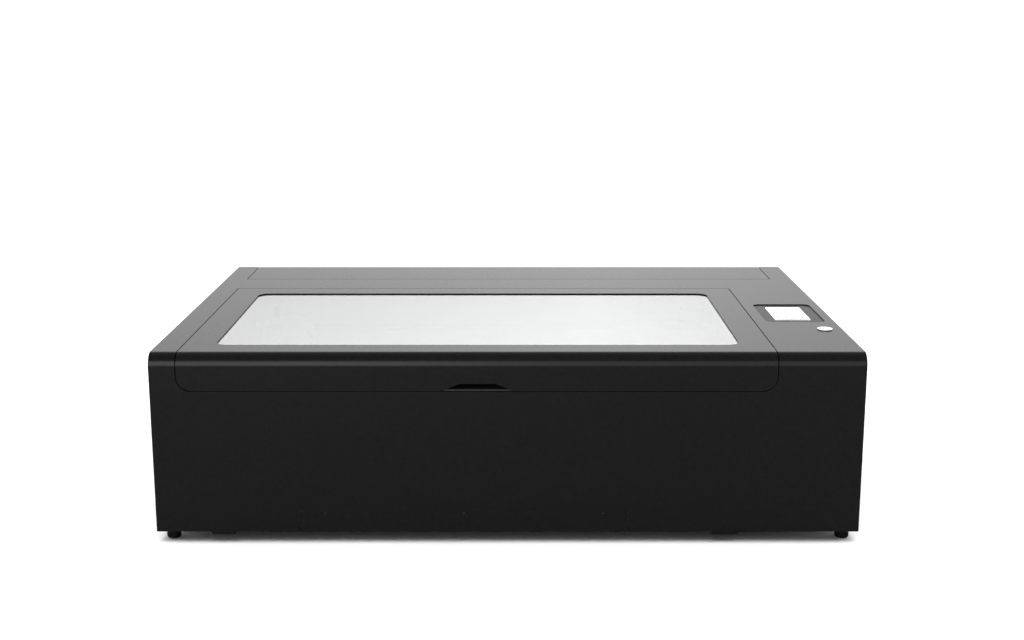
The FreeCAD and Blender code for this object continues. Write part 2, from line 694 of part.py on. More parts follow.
def carriage(label, way):
    """Block that straddles the guide rail, with a clamp tab over the drive belt."""
    far = D.lid_centre + (D.chamber_half - 2) * way
    near = D.lid_centre + D.beam_half * way
    rail = D.lid_centre + (D.chamber_half - 14.5) * way
    belt = D.lid_centre + (D.beam_half - 5) * way
    x = (far, near) if way < 0 else (near, far)
    block = box(label + "_block", x, (home_y - 25, home_y + 25), (D.guide_top - 8, D.beam_high))
    groove = box(label + "_groove", (rail - 7.8, rail + 7.8), (home_y - 26, home_y + 26),
                 (D.guide_top - 9, D.guide_top + 0.3))
    tab = box(label + "_tab", (belt - 3, belt + 3), (home_y - 10, home_y + 10),
              (D.shaft_height + D.pulley_radius + D.belt_thick + 0.4, D.beam_low))
    return cut(label, block, groove), tab


def gantry():
    body = box("beam_body", (beam_left, beam_right), (beam_front, beam_rear), (D.beam_low, D.beam_high))
    groove_z = (D.beam_low + D.beam_high) / 2
    groove = box("beam_groove", (beam_left - 1, beam_right + 1), (beam_front - 1, beam_front + 3),
                 (groove_z - 3, groove_z + 3))
    left, left_tab = carriage("left_carriage", -1)
    right, right_tab = carriage("right_carriage", 1)
    node(fuse("gantry_beam", cut("beam_grooved", body, groove), left_tab, right_tab))
    node(left)
    node(right)
    # beam turner on an arm at the gantry's left end
    x, y = D.head_left - 50, front + D.head_front
    arm = box("mirror_arm", (x - 16, x + 14), (y - 16, beam_front), (D.beam_low + 4, D.beam_low + 12))
    post = box("mirror_post", (x - 14, x - 9), (y - 14, y + 14), (D.beam_low + 12, D.beam_height + 14))
    holder = box("mirror_holder", (x - 9, x - 2), (y - 8, y - 2), (D.beam_height - 4, D.beam_height + 4))
    disc = mirror_disc("second_mirror_disc", x, y, V(-1, -1, 0))
    node(fuse("second_mirror", arm, post, holder, disc))


def mirror_disc(label, x, y, behind):
    """A round mirror whose face is at a point of the beam; behind is the way its back looks."""
    disc = new("Part::Cylinder", label)
    disc.Placement = FreeCAD.Placement(V(), FreeCAD.Rotation(V(0, 0, 1), behind))
    bind(disc, "Radius", 10)
    bind(disc, "Height", 5)
    return put(disc, x, y, D.beam_height)


def first_mirror():
    """Beam turner on a post at the end of the laser tube."""
    x = D.head_left - 50
    foot_plate = box("post_foot", (x - 30, x + 10), (tube_y - 20, tube_y + 20), (floor_top, floor_top + 4))
    post = box("post_bar", (x - 16, x - 9), (tube_y - 14, tube_y + 14), (floor_top + 4, D.beam_height + 14))
    holder = box("post_holder", (x - 9, x - 2), (tube_y + 2, tube_y + 8),
                 (D.beam_height - 4, D.beam_height + 4))
    disc = mirror_disc("first_mirror_disc", x, tube_y, V(-1, 1, 0))
    return fuse("first_mirror", foot_plate, post, holder, disc)


def x_drive():
    """Belt along the beam, its motor, and the pulley on the motor's shaft."""
    left, right = beam_left + 17, beam_right - 22
    half = D.x_pulley_radius + D.running_gap
    z = (D.beam_high + 1.5, D.beam_high + 1.5 + D.belt_width)
    outer = half + D.belt_thick
    loop = rectangle(left - outer, right + outer, home_y - outer, home_y + outer, outer - 0.01)
    inner = rectangle(left - half, right + half, home_y - half, home_y + half, half - 0.01)
    node(prism("x_belt", "XY", [loop, inner], z))
    pulley = rod("x_pulley_wheel", "z", (right, home_y), (z[0] - 1, z[1] + 1), D.x_pulley_radius)
    bore = rod("x_pulley_bore", "z", (right, home_y), (z[0] - 2, z[1] + 2), 2.5 + D.running_gap)
    node(cut("x_pulley", pulley, bore))
    case = box("x_motor_case", (right - 21, right + 21), (home_y - 21, home_y + 21),
               (z[1] + 3, z[1] + 37))
    leg = box("x_motor_leg", (right - 21, right + 21), (home_y + 12, home_y + 18),
              (D.beam_high, z[1] + 3))
    shaft = rod("x_motor_shaft", "z", (right, home_y), (D.beam_high + 0.2, z[1] + 3), 2.5)
    node(fuse("x_motor", case, leg, shaft))


def y_drive():
    """Cross shaft with a pulley at each end, its motor, and the two drive belts."""
    shaft = rod("shaft_bar", "x", (shaft_y, D.shaft_height), (wall_left + 2, wall_right + 22), D.shaft_radius)
    pulleys, belts = [], []
    for name, way in (("left", -1), ("right", 1)):
        centre = D.lid_centre + (D.beam_half - 5) * way
        pulleys.append(rod(f"{name}_drive_pulley", "x", (shaft_y, D.shaft_height),
                           (centre - 4, centre + 4), D.pulley_radius))
        half = D.pulley_radius + D.running_gap
        outer = half + D.belt_thick
        ahead = front + 60
        loop = rectangle(ahead - outer, shaft_y + outer, D.shaft_height - outer,
                         D.shaft_height + outer, outer - 0.01)
        inner = rectangle(ahead - half, shaft_y + half, D.shaft_height - half,
                          D.shaft_height + half, half - 0.01)
        belts.append(prism(f"{name}_y_belt", "YZ", [loop, inner],
                           (centre - D.belt_width / 2, centre + D.belt_width / 2)))
    node(fuse("drive_shaft", shaft, *pulleys))
    node(group("y_belts", *belts))
    face = wall_right + D.wall_thick
    half = D.y_motor_width / 2
    case = box("y_motor_case", (face, face + 48), (shaft_y - half, shaft_y + half),
               (D.shaft_height - half, D.shaft_height + half))
    bore = rod("y_motor_bore", "x", (shaft_y, D.shaft_height), (face - 1, wall_right + 24),
               D.shaft_radius + D.running_gap)
    node(cut("y_motor", case, bore))


def laser_head():
    x = (D.head_left - D.head_width / 2, D.head_left + D.head_width / 2)
    nozzle_y = front + D.head_front
    plate = box("head_back", x, (beam_front - 6, beam_front - 0.4), (D.beam_low - 4, D.beam_high + 11))
    arm = box("head_belt_arm", (x[0] + 10, x[1] - 10), (beam_front - 6, home_y - 2),
              (D.beam_high + 8.4, D.beam_high + 11))
    block = box("head_block", (x[0] + 8, x[1] - 8), (nozzle_y - 20, beam_front - 6),
                (D.beam_low, D.beam_high + 4))
    cap = box("head_mirror_box", (x[0] + 12, x[1] - 12), (nozzle_y - 16, nozzle_y + 18),
              (D.beam_high + 4, D.beam_height + 20))
    bore = rod("head_bore", "z", (D.head_left, nozzle_y), (D.beam_low - 1, D.beam_high + 5),
               D.lens_radius + D.running_gap)
    beam_way = rod("head_beam_way", "x", (nozzle_y, D.beam_height), (x[0] + 11, D.head_left + 4), 6)
    knob_hole = rod("head_knob_hole", "x", (nozzle_y, (D.beam_low + D.beam_high) / 2),
                    (x[1] - 14.5, x[1] - 7), 2 + D.running_gap)
    node(cut("laser_head", fuse("head_blank", plate, arm, block, cap), bore, beam_way, knob_hole))
    rise = D.beam_high - D.nozzle_low
    lens = [
        (2, 0), (5, 0), (D.lens_radius, 16), (D.lens_radius, rise - 16),
        (9, rise - 16), (9, 18), (2, 4),
    ]
    node(turned("lens_tube", lens, D.head_left, nozzle_y, D.nozzle_low))
    knob = [(0, -6), (2, -6), (2, 0.5), (7, 0.5), (9, 2.5), (9, 9), (8, 10), (0, 10)]
    node(turned("focus_knob", knob, x[1] - 8, nozzle_y, (D.beam_low + D.beam_high) / 2, "x"))


for rail_name, rail_way in (("left", -1), ("right", 1)):
    node(guide_rail(f"{rail_name}_guide_rail", rail_way))
gantry()
x_drive()
y_drive()
laser_head()


# ---------------------------------------------------------------- laser tube, exhaust, electrics
def laser_tube():
    length = D.tube_right - D.tube_left
    profile = [
        (0, 0), (14, 0), (14, 12), (D.tube_radius, 24), (D.tube_radius, length - 24),
        (14, length - 12), (14, length), (0, length),
    ]
    node(turned("laser_tube", profile, D.tube_left, tube_y, D.beam_height, "x"))
    cradles = []
    for i, x in enumerate((as_size(-300), as_size(396))):
        block = box(f"cradle_block_{i + 1}", (x, x + 30), (tube_y - 38, tube_y + 38),
                    (floor_top, D.beam_height + 10))
        seat = rod(f"cradle_seat_{i + 1}", "x", (tube_y, D.beam_height), (x - 1, x + 31), D.tube_radius)
        room = box(f"cradle_room_{i + 1}", (x - 1, x + 31), (tube_y - D.tube_radius, tube_y + D.tube_radius),
                   (D.beam_height, D.beam_height + 11))
        foot_room = box(f"cradle_waist_{i + 1}", (x - 1, x + 31), (tube_y - 20, tube_y + 20),
                        (floor_top + 6, D.beam_height - 45))
        cradles.append(cut(f"tube_cradle_{i + 1}", block, seat, room, foot_room))
    node(group("tube_cradles", *cradles))


def exhaust():
    rim = D.blower_radius + 7
    z = (D.exhaust_height - rim, D.exhaust_height + rim)
    face = front + D.blower_front
    across = (as_size(0), D.exhaust_height)
    case = box("blower_case", (-rim, rim), (face, rear - D.skin), z)
    spout = rod("blower_spout", "y", across, (rear - D.skin, rear + D.spigot_reach), D.spigot_radius)
    cavity = rod("blower_cavity", "y", across, (face + 4, rear - D.skin - 4), D.blower_radius)
    mouth = rod("blower_mouth", "y", across, (face - 1, face + 5), D.blower_radius - 14)
    outlet = rod("blower_outlet", "y", across, (rear - D.skin - 5, rear + D.spigot_reach + 1),
                 D.spigot_radius - D.spigot_wall)
    hollow_case = cut("blower_hollow_case", fuse("blower_blank", case, spout), cavity, mouth, outlet)
    bar = box("blower_bar", (-D.blower_radius, D.blower_radius), (face, face + 4),
              (D.exhaust_height - 5, D.exhaust_height + 5))
    axle = rod("blower_axle", "y", across, (face, face + 60), D.axle_radius)
    node(fuse("exhaust_blower", hollow_case, bar, axle))
    hub = rod("wheel_hub", "y", across, (face + 8, face + 56), 13)
    disc = rod("wheel_disc", "y", across, (face + 8, face + 11), D.wheel_radius)
    blades = []
    for i in range(10):
        blade = new("Part::Box", f"wheel_blade_{i + 1}")
        blade.Placement = FreeCAD.Placement(V(), FreeCAD.Rotation(V(0, 1, 0), 36 * i))
        bind(blade, "Length", D.wheel_radius - 1)
        bind(blade, "Width", 44)
        bind(blade, "Height", D.skin)
        blades.append(put(blade, 0, face + 10, D.exhaust_height))
    bore = rod("wheel_bore", "y", across, (face + 7, face + 57), D.axle_radius + D.running_gap)
    node(cut("blower_wheel", fuse("wheel_blank", hub, disc, *blades), bore))


def electrics():
    """Power supply and control board in the bay beside the chamber."""
    case = box("supply_case", (420, 530), (front + 250, front + 465), (floor_top, floor_top + 62))
    fan_seat = rod("supply_fan_seat", "y", (as_size(475), floor_top + 31), (front + 249, front + 254), 25)
    node(cut("power_supply", case, fan_seat))
    board = box("board_sheet", (420, 535), (front + 60, front + 220), (floor_top + 8, floor_top + 9.6))
    stands, chips = [], []
    for i, (x, back) in enumerate(((426, 66), (529, 66), (426, 214), (529, 214))):
        stands.append(rod(f"board_stand_{i + 1}", "z", (as_size(x), front + back),
                          (floor_top, floor_top + 8), 3))
    for i, (x, back, wide, long, high) in enumerate((
        (440, 90, 22, 22, 3), (480, 90, 36, 50, 16), (440, 150, 70, 14, 12), (436, 186, 60, 18, 10),
    )):
        chips.append(box(f"board_chip_{i + 1}", (x, x + wide), (front + back, front + back + long),
                         (floor_top + 9.6, floor_top + 9.6 + high)))
    node(fuse("control_board", board, *stands, *chips))


def screen_and_button():
    gap = D.fit_gap
    outer = rectangle(pocket_left - 8, pocket_right + 8, pocket_y - 8, pocket_end + 8, D.pocket_corner + 8)
    inner = rectangle(pocket_left, pocket_right, pocket_y, pocket_end, D.pocket_corner)
    screen_x = (D.screen_centre - D.screen_width / 2, D.screen_centre + D.screen_width / 2)
    screen_y = (front + D.screen_front, front + D.screen_front + D.screen_depth)
    floor_high = top - D.pocket_sink
    rim = prism("pocket_rim", "XY", [outer, inner], (floor_high, deck_low))
    seat = prism("pocket_floor", "XY", [outer, rectangle(*screen_x, *screen_y, 2)],
                 (floor_high - 2, floor_high))
    node(fuse("screen_pocket", rim, seat))
    glass_x = (screen_x[0] + gap, screen_x[1] - gap)
    glass_y = (screen_y[0] + gap, screen_y[1] - gap)
    glass = prism("screen_glass", "XY", [rectangle(*glass_x, *glass_y, 2)],
                  (floor_high - 2, floor_high + 0.3))
    module = box("screen_module", (screen_x[0] - 4, screen_x[1] + 4), (screen_y[0] - 4, screen_y[1] + 4),
                 (floor_high - 10, floor_high - 2))
    node(fuse("touch_screen", glass, module))
    bore, barrel = D.button_stem + D.running_gap * 2, D.button_ring - 1.1
    ring = [
        (bore, -22), (barrel, -22), (barrel, 0), (D.button_ring, 0),
        (D.button_ring, 0.15), (D.button_ring - 0.15, 0.3), (bore, 0.3),
    ]
    node(turned("button_ring", ring, D.button_centre, button_y, top))
    cap = [
        (0, -16), (D.button_stem, -16), (D.button_stem, 1.2), (D.button_cap, 1.2),
        (D.button_cap, 1.7), (10, 2.4), (5, 2.8), (0, 2.9),
    ]
    node(turned("start_button", cap, D.button_centre, button_y, top))


def rear_sockets():
    inner_y, outer_y = rear - 22, rear + 2
    low, high = D.inlet_height - D.inlet_high / 2, D.inlet_height + D.inlet_high / 2
    left, right = D.inlet_centre - D.inlet_wide / 2, D.inlet_centre + D.inlet_wide / 2
    gap = D.fit_gap
    body = box("inlet_body", (left + gap, right - gap), (inner_y, rear), (low + gap, high - gap))
    flange = box("inlet_flange", (left - 3, right + 3), (rear, outer_y), (low - 3, high + 3))
    socket = box("inlet_hollow", (left + 1.6, right - 1.6), (inner_y + 4, outer_y + 1),
                 (low + 1.6, high - 1.6))
    pins = []
    for i, height in ((-1, D.inlet_height), (0, D.inlet_height - 3), (1, D.inlet_height)):
        x = D.inlet_centre + 7 * i
        pins.append(box(f"inlet_pin_{i + 2}", (x - 1, x + 1), (inner_y + 3, inner_y + 20),
                        (height - 2, height + 2)))
    node(fuse("power_inlet", cut("inlet_shell", fuse("inlet_blank", body, flange), socket), *pins))
    left, right = D.switch_centre - D.switch_wide / 2, D.switch_centre + D.switch_wide / 2
    low, high = D.inlet_height - D.switch_high / 2, D.inlet_height + D.switch_high / 2
    housing = box("switch_body", (left + gap, right - gap), (inner_y, rear), (low + gap, high - gap))
    bezel = box("switch_bezel", (left - 2, right + 2), (rear, outer_y - 0.5), (low - 2, high + 2))
    room = box("switch_room", (left + 2, right - 2), (rear - 14, rear + 3), (low + 2, high - 2))
    axle = rod("switch_axle", "x", (rear - 4, D.inlet_height), (left + 1.8, right - 1.8), 1.2)
    node(fuse("switch_housing", cut("switch_shell", fuse("switch_blank", housing, bezel), room), axle))
    # the rocker is a shallow wedge about the axle, pushed in at its foot when switched on
    half = D.switch_high / 2 - 3.7
    outline = [
        (rear - 8, D.inlet_height - 4), (rear - 2, D.inlet_height - half),
        (rear + 0.5, D.inlet_height - half), (rear + 1.6, D.inlet_height),
        (rear + 4, D.inlet_height + half), (rear - 2, D.inlet_height + half),
        (rear - 8, D.inlet_height + 4),
    ]
    rocker = prism("rocker_wedge", "YZ", [outline], (left + 2.4, right - 2.4))
    bore = rod("rocker_bore", "x", (rear - 4, D.inlet_height), (left, right), 1.25)
    node(cut("rocker_switch", rocker, bore))
    block = box("port_block", (D.port_centre - 24.8, D.port_centre + 24.8), (rear - 20, rear),
                (D.port_height - 8.8, D.port_height + 8.8))
    plate = box("port_plate", (D.port_centre - 28, D.port_centre + 28), (rear, rear + 1.2),
                (D.port_height - 12, D.port_height + 12))
    usb = box("usb_hollow", (D.port_centre - 18, D.port_centre - 6), (rear - 12, rear + 2),
              (D.port_height - 5.5, D.port_height + 5.5))
    network = box("network_hollow", (D.port_centre + 4, D.port_centre + 16), (rear - 14, rear + 2),
                  (D.port_height - 4.5, D.port_height + 4.5))
    node(cut("data_ports", fuse("port_blank", block, plate), usb, network))


def struts():
    """Gas struts: the tube swings on the cabinet and the rod's eye stands beside the lid's stud."""
    low_y, low_z = front + D.strut_low_back, D.strut_low_height
    high_y, high_z = front + D.strut_lid_back, D.strut_lid_height
    rise_y, rise_z = (high_y - low_y).value, (high_z - low_z).value
    length = math.hypot(rise_y, rise_z)
    lean = math.degrees(math.atan2(-rise_y, rise_z))
    tubes, rods, studs = [], [], []
    for name, way in (("left", -1), ("right", 1)):
        x = D.lid_centre + D.strut_half * way
        parts = []
        for kind, low, high, radius in (
            ("tube", 6.5, length - 28, D.strut_radius), ("rod", 14, length - 5, D.strut_rod),
            ("hole", 12, length - 27, D.strut_rod + D.running_gap),
        ):
            bar = new("Part::Cylinder", f"{name}_strut_{kind}_bar")
            turn = FreeCAD.Rotation(V(1, 0, 0), lean)
            offset = turn.multVec(V(0, 0, low))
            bar.Placement = FreeCAD.Placement(V(), turn)
            bind(bar, "Radius", radius)
            bind(bar, "Height", high - low)
            parts.append(put(bar, x, low_y + offset.y, low_z + offset.z))
        tube, bar, hole = parts
        wall = D.lid_centre + (D.chamber_half + D.wall_thick) * way
        eye = rod(f"{name}_strut_foot", "x", (low_y, low_z), (x - 4, x + 4), 7)
        eye_hole = rod(f"{name}_strut_foot_hole", "x", (low_y, low_z), (x - 5, x + 5), 3 + D.running_gap)
        tubes.append(cut(f"{name}_strut_tube", fuse(f"{name}_tube_blank", tube, eye), hole, eye_hole))
        ball = rod(f"{name}_strut_eye", "x", (high_y, high_z), (x - 3, x + 3), 6)
        rods.append(fuse(f"{name}_strut_rod", bar, ball))
        far = x + 5 * way
        span = (wall, x - 4.2 * way) if way > 0 else (x + 4.2, wall)
        collar = rod(f"{name}_strut_collar", "x", (low_y, low_z), span, 6)
        pin_span = (wall, far) if way > 0 else (far, wall)
        pin = rod(f"{name}_strut_pin", "x", (low_y, low_z), pin_span, 3)
        studs.append(fuse(f"{name}_strut_stud", collar, pin))
    node(group("strut_tubes", *tubes))
    node(group("strut_rods", *rods))
    hinge_pins.extend(studs)


node(first_mirror())
laser_tube()
exhaust()
electrics()
screen_and_button()
rear_sockets()
struts()
node(group("hinge_pins", *hinge_pins))

# ---------------------------------------------------------------- check and write
doc.recompute()
faults = [thing.Label for thing in doc.Objects if {"Invalid", "Error"} & set(thing.State)]
faults += [piece.Label for piece in NODES if piece.Shape.isNull() or not piece.Shape.isValid()]
if faults:
    raise SystemExit("not built: " + ", ".join(faults))
names = [piece.Label for piece in NODES]
if len(set(names)) != len(names):
    raise SystemExit("two sub-parts share a name")
os.makedirs("parts", exist_ok=True)
for piece in NODES:
    piece.Shape.exportStep(f"parts/{piece.Label}.step")
    extent = piece.Shape.BoundBox
    print(f"{piece.Label:22s} solids {len(piece.Shape.Solids):2d}"
          f"  volume {piece.Shape.Volume / 1000:9.2f} cm3"
          f"  x {extent.XMin:7.1f} {extent.XMax:7.1f}  y {extent.YMin:7.1f} {extent.YMax:7.1f}"
          f"  z {extent.ZMin:6.1f} {extent.ZMax:6.1f}")
print(len(NODES), "sub-parts")
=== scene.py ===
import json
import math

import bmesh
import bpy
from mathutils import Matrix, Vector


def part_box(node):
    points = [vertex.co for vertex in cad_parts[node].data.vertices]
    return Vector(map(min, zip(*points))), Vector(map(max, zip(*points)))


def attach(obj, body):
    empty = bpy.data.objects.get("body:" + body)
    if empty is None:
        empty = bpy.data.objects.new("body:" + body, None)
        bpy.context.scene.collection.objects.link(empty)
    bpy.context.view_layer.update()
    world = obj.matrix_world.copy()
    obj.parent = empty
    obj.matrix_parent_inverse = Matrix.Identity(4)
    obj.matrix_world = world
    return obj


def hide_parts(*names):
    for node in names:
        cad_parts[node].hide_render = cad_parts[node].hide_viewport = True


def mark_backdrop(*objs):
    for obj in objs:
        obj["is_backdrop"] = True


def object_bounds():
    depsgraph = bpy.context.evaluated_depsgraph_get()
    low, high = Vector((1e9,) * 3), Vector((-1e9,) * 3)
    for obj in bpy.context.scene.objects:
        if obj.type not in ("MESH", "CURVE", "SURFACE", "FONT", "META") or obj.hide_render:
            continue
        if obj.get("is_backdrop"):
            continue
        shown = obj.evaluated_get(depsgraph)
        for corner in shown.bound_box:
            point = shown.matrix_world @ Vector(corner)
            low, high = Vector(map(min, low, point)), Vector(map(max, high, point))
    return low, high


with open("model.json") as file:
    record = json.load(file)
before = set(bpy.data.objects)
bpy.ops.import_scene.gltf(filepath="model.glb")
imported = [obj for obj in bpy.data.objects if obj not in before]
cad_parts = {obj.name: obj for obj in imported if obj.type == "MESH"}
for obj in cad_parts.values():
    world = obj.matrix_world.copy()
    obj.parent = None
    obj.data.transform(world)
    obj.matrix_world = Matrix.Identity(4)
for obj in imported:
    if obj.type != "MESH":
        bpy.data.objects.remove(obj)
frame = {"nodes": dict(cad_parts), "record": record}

# %% [markdown]
# # A desktop laser cutter
# The machine is a low cabinet folded from black powder-coated steel sheet, with a wide lid over
# the work chamber, a narrow cover over the laser tube, and a small screen and button on the
# right. The frame holds every part at its place, so each step below reads its sizes from there,
# remodels the parts that are seen, and gives every part the finish of the real material.

cad_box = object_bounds()
MM = 0.001
skin_low, skin_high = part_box("outer_shell")
deck = skin_high.z
front = skin_low.y
back = skin_high.y
sheet = 1.5 * MM
print("cabinet skin, mm:", [round(n / MM, 1) for n in (*skin_low, *skin_high)])

# %% [markdown]
# ## Camera
# The camera looks straight at the front from half a metre above the deck, with a 50 mm lens, and
# is tilted down so that the deck shows as a narrow band above the front.

# %% Camera
camera_data = bpy.data.cameras.new("camera")
camera_data.lens = 50
camera_data.sensor_width = 36
camera_data.clip_end = 40
camera = bpy.data.objects.new("camera", camera_data)
camera.location = (0.00668, front - 2.10688, deck + 0.51614)
camera.rotation_euler = (math.radians(77.618), 0, 0)
bpy.context.scene.collection.objects.link(camera)
bpy.context.scene.camera = camera
print("camera at", [round(n, 3) for n in camera.location])

# %% [markdown]
# ## Colours and nodes
# Colours are written as sRGB hex, as a paint card gives them, and turned to linear in one place.
# One helper adds a node, sets its options and feeds its sockets, so a finish reads as a list.

# %% Helpers for materials
def colour(code):
    """Linear RGBA of an sRGB hex colour."""
    parts = [int(code[i:i + 2], 16) / 255 for i in (1, 3, 5)]
    return (*[c / 12.92 if c <= 0.04045 else ((c + 0.055) / 1.055) ** 2.4 for c in parts], 1)


def add(tree, kind, feeds=None, **settings):
    """Add a node; feeds maps a socket to a value or to another node's output."""
    node = tree.nodes.new("ShaderNode" + kind)
    for name, value in settings.items():
        setattr(node, name, value)
    for socket, value in (feeds or {}).items():
        if isinstance(value, bpy.types.NodeSocket):
            tree.links.new(value, node.inputs[socket])
        else:
            node.inputs[socket].default_value = value
    return node


def material(name, base, **sockets):
    """A new Principled material; sockets are given by name with spaces as _."""
    made = bpy.data.materials.new(name)
    made.use_nodes = True
    shader = made.node_tree.nodes["Principled BSDF"]
    shader.inputs["Base Color"].default_value = colour(base)
    for socket, value in sockets.items():
        shader.inputs[socket.replace("_", " ")].default_value = value
    made.diffuse_color = colour(base)
    print("finish", name)
    return made


def grain(made, size_mm, depth_mm, rough=None, tones=None, stretch=(1, 1, 1)):
    """Give a material fine relief of one grain size; roughness and colour follow the grain."""
    tree = made.node_tree
    shader = tree.nodes["Principled BSDF"]
    place = add(tree, "TexCoord")
    scaled = add(tree, "Mapping", {"Vector": place.outputs["Object"], "Scale": stretch})
    noise = add(tree, "TexNoise",
                {"Vector": scaled.outputs[0], "Scale": 1000 / size_mm, "Detail": 3})
    if depth_mm:
        bump = add(tree, "Bump", {"Height": noise.outputs["Fac"], "Distance": depth_mm * MM,
                                  "Strength": 1.0})
        tree.links.new(bump.outputs[0], shader.inputs["Normal"])
    if rough:
        spread = add(tree, "MapRange", {"Value": noise.outputs["Fac"], "From Min": 0.3, "From Max": 0.7,
                                        "To Min": rough[0], "To Max": rough[1]})
        tree.links.new(spread.outputs[0], shader.inputs["Roughness"])
    if tones:
        broad = add(tree, "TexNoise", {"Vector": scaled.outputs[0], "Scale": 1000 / (size_mm * 6),
                                       "Detail": 4})
        ramp = add(tree, "ValToRGB", {"Fac": broad.outputs["Fac"]})
        ramp.color_ramp.elements[0].position = 0.35
        ramp.color_ramp.elements[1].position = 0.65
        for stop, tone in zip(ramp.color_ramp.elements, tones):
            stop.color = colour(tone)
        tree.links.new(ramp.outputs[0], shader.inputs["Base Color"])
    return made


# %% [markdown]
# ## Finishes
# Powder coat is a polyester powder baked on to steel. It levels into a skin with a fine orange
# peel, so it is nearly black face on and turns mid grey at a shallow angle, where any coating
# mirrors the room. Its grain is drawn 1.2 mm wide, a little coarser than real, so that it shows.

# %% Painted steel
def powder_coat():
    return grain(material("black_powder_coat", "#0a0a0a", IOR=1.5, Specular_IOR_Level=0.07),
                 1.2, 0.006, rough=(0.22, 0.3), tones=("#070707", "#0b0b0b"))


def dark_enamel():
    return grain(material("black_enamel_steel", "#040404", Specular_IOR_Level=0.05),
                 1.6, 0.008, rough=(0.42, 0.55), tones=("#030303", "#060606"))


PAINT, ENAMEL = powder_coat(), dark_enamel()

# %% [markdown]
# Zinc-plated sheet is bright steel with faint rolling lines, anodised aluminium is softer and
# greyer, and both are drawn with grain stretched along the direction they were rolled or drawn.

# %% Bare metals
def zinc_plate():
    return grain(material("zinc_plated_steel", "#b9bcc0", Metallic=1.0),
                 3, 0.004, rough=(0.3, 0.44), tones=("#a9adb2", "#c4c7ca"), stretch=(0.1, 1, 1))


def anodised():
    return grain(material("anodised_aluminium", "#9a9da1", Metallic=1.0),
                 0.8, 0.003, rough=(0.32, 0.4), tones=("#929599", "#a2a5a9"), stretch=(0.06, 1, 1))


def bed_alloy():
    return grain(material("mill_finish_aluminium", "#b4b6b8", Metallic=1.0),
                 1.5, 0.004, rough=(0.3, 0.46), tones=("#a4a6a8", "#bfc1c3"))


def turned_steel():
    return grain(material("turned_steel", "#8f9194", Metallic=1.0),
                 0.6, 0.002, rough=(0.2, 0.3), tones=("#85878a", "#9a9c9f"), stretch=(0.1, 1, 1))


def black_oxide():
    return grain(material("black_oxide_steel", "#161617", Metallic=0.6),
                 0.5, 0.004, rough=(0.3, 0.42), tones=("#101011", "#1d1d1f"))


ZINC, ANODISED, BED_ALLOY = zinc_plate(), anodised(), bed_alloy()
STEEL, BLACK_OXIDE = turned_steel(), black_oxide()

# %% [markdown]
# Rubber and moulded plastics carry the spark-eroded texture of their moulds: a soft, fine grain
# with little gloss. The rubber is duller than the ABS.

# %% Rubber and plastics
def rubber():
    return grain(material("moulded_rubber", "#040404", Specular_IOR_Level=0.06),
                 0.9, 0.02, rough=(0.6, 0.78), tones=("#030303", "#070707"))


def abs_black():
    return grain(material("moulded_black_abs", "#0b0b0c", Specular_IOR_Level=0.2),
                 0.7, 0.012, rough=(0.4, 0.54), tones=("#090909", "#0f0f10"))


def belt_rubber():
    made = material("toothed_belt_neoprene", "#141414", Roughness=0.7)
    tree = made.node_tree
    place = add(tree, "TexCoord")
    teeth = add(tree, "TexWave", {"Vector": place.outputs["Object"], "Scale": 1000 / (2 * math.pi * 2)},
                bands_direction="DIAGONAL")
    bump = add(tree, "Bump", {"Height": teeth.outputs["Fac"], "Distance": 0.4 * MM})
    tree.links.new(bump.outputs[0], tree.nodes["Principled BSDF"].inputs["Normal"])
    return made


RUBBER, ABS, BELT = rubber(), abs_black(), belt_rubber()

# %% [markdown]
# Clear acrylic and borosilicate glass are smooth, and the acrylic has a slight smoky tint. The
# button's acrylic is filled with white, and its faint glow is painted light: a small emission
# stands in for the light that scatters inside it.

# %% Clear and white materials
def acrylic():
    return grain(material("clear_acrylic", "#a6a9a9", Transmission_Weight=1.0, IOR=1.49),
                 60, 0.0, rough=(0.015, 0.03))


def borosilicate():
    return grain(material("borosilicate_glass", "#e6eef0", Transmission_Weight=1.0, IOR=1.47),
                 80, 0.0, rough=(0.01, 0.03))


def milk_acrylic():
    # painted light: the white emission makes the cap glow though nothing inside it is lit
    made = material("milk_white_acrylic", "#f5f5f3", Coat_Weight=0.6, Coat_Roughness=0.05,
                    Emission_Color=colour("#ffffff"), Emission_Strength=0.2)
    return grain(made, 4, 0.003, rough=(0.16, 0.24), tones=("#f2f2f0", "#fafaf9"))


ACRYLIC, GLASS, MILK = acrylic(), borosilicate(), milk_acrylic()

# %% [markdown]
# The lit screen glows evenly behind its glass, and its marks give off their own tone and mirror
# nothing. The dish round the screen is smoother than the other mouldings, and the circuit board
# has a green lacquer with a clear gloss.

# %% Screen, dish and board
def lit_display():
    made = material("backlit_display", "#f4f6f8", Roughness=0.2, Emission_Strength=1.0)
    tree = made.node_tree
    place = add(tree, "TexCoord")
    dots = add(tree, "TexNoise", {"Vector": place.outputs["Object"], "Scale": 60.0, "Detail": 1})
    ramp = add(tree, "ValToRGB", {"Fac": dots.outputs["Fac"]})
    ramp.color_ramp.elements[0].color = colour("#f6f8fa")
    ramp.color_ramp.elements[1].color = colour("#ffffff")
    for socket in ("Base Color", "Emission Color"):
        tree.links.new(ramp.outputs[0], tree.nodes["Principled BSDF"].inputs[socket])
    return made


def screen_ink(name, tone):
    return material(name, "#000000", Specular_IOR_Level=0.0, Emission_Color=colour(tone),
                    Emission_Strength=1.0)


def soft_touch_abs():
    return grain(material("soft_touch_black_abs", "#080808", Specular_IOR_Level=0.034),
                 0.9, 0.004, rough=(0.24, 0.34), tones=("#060606", "#0b0b0b"))


def solder_mask():
    return grain(material("green_solder_mask", "#0f4a2c", Coat_Weight=0.5),
                 1.5, 0.01, rough=(0.3, 0.42), tones=("#0c3f25", "#125233"))


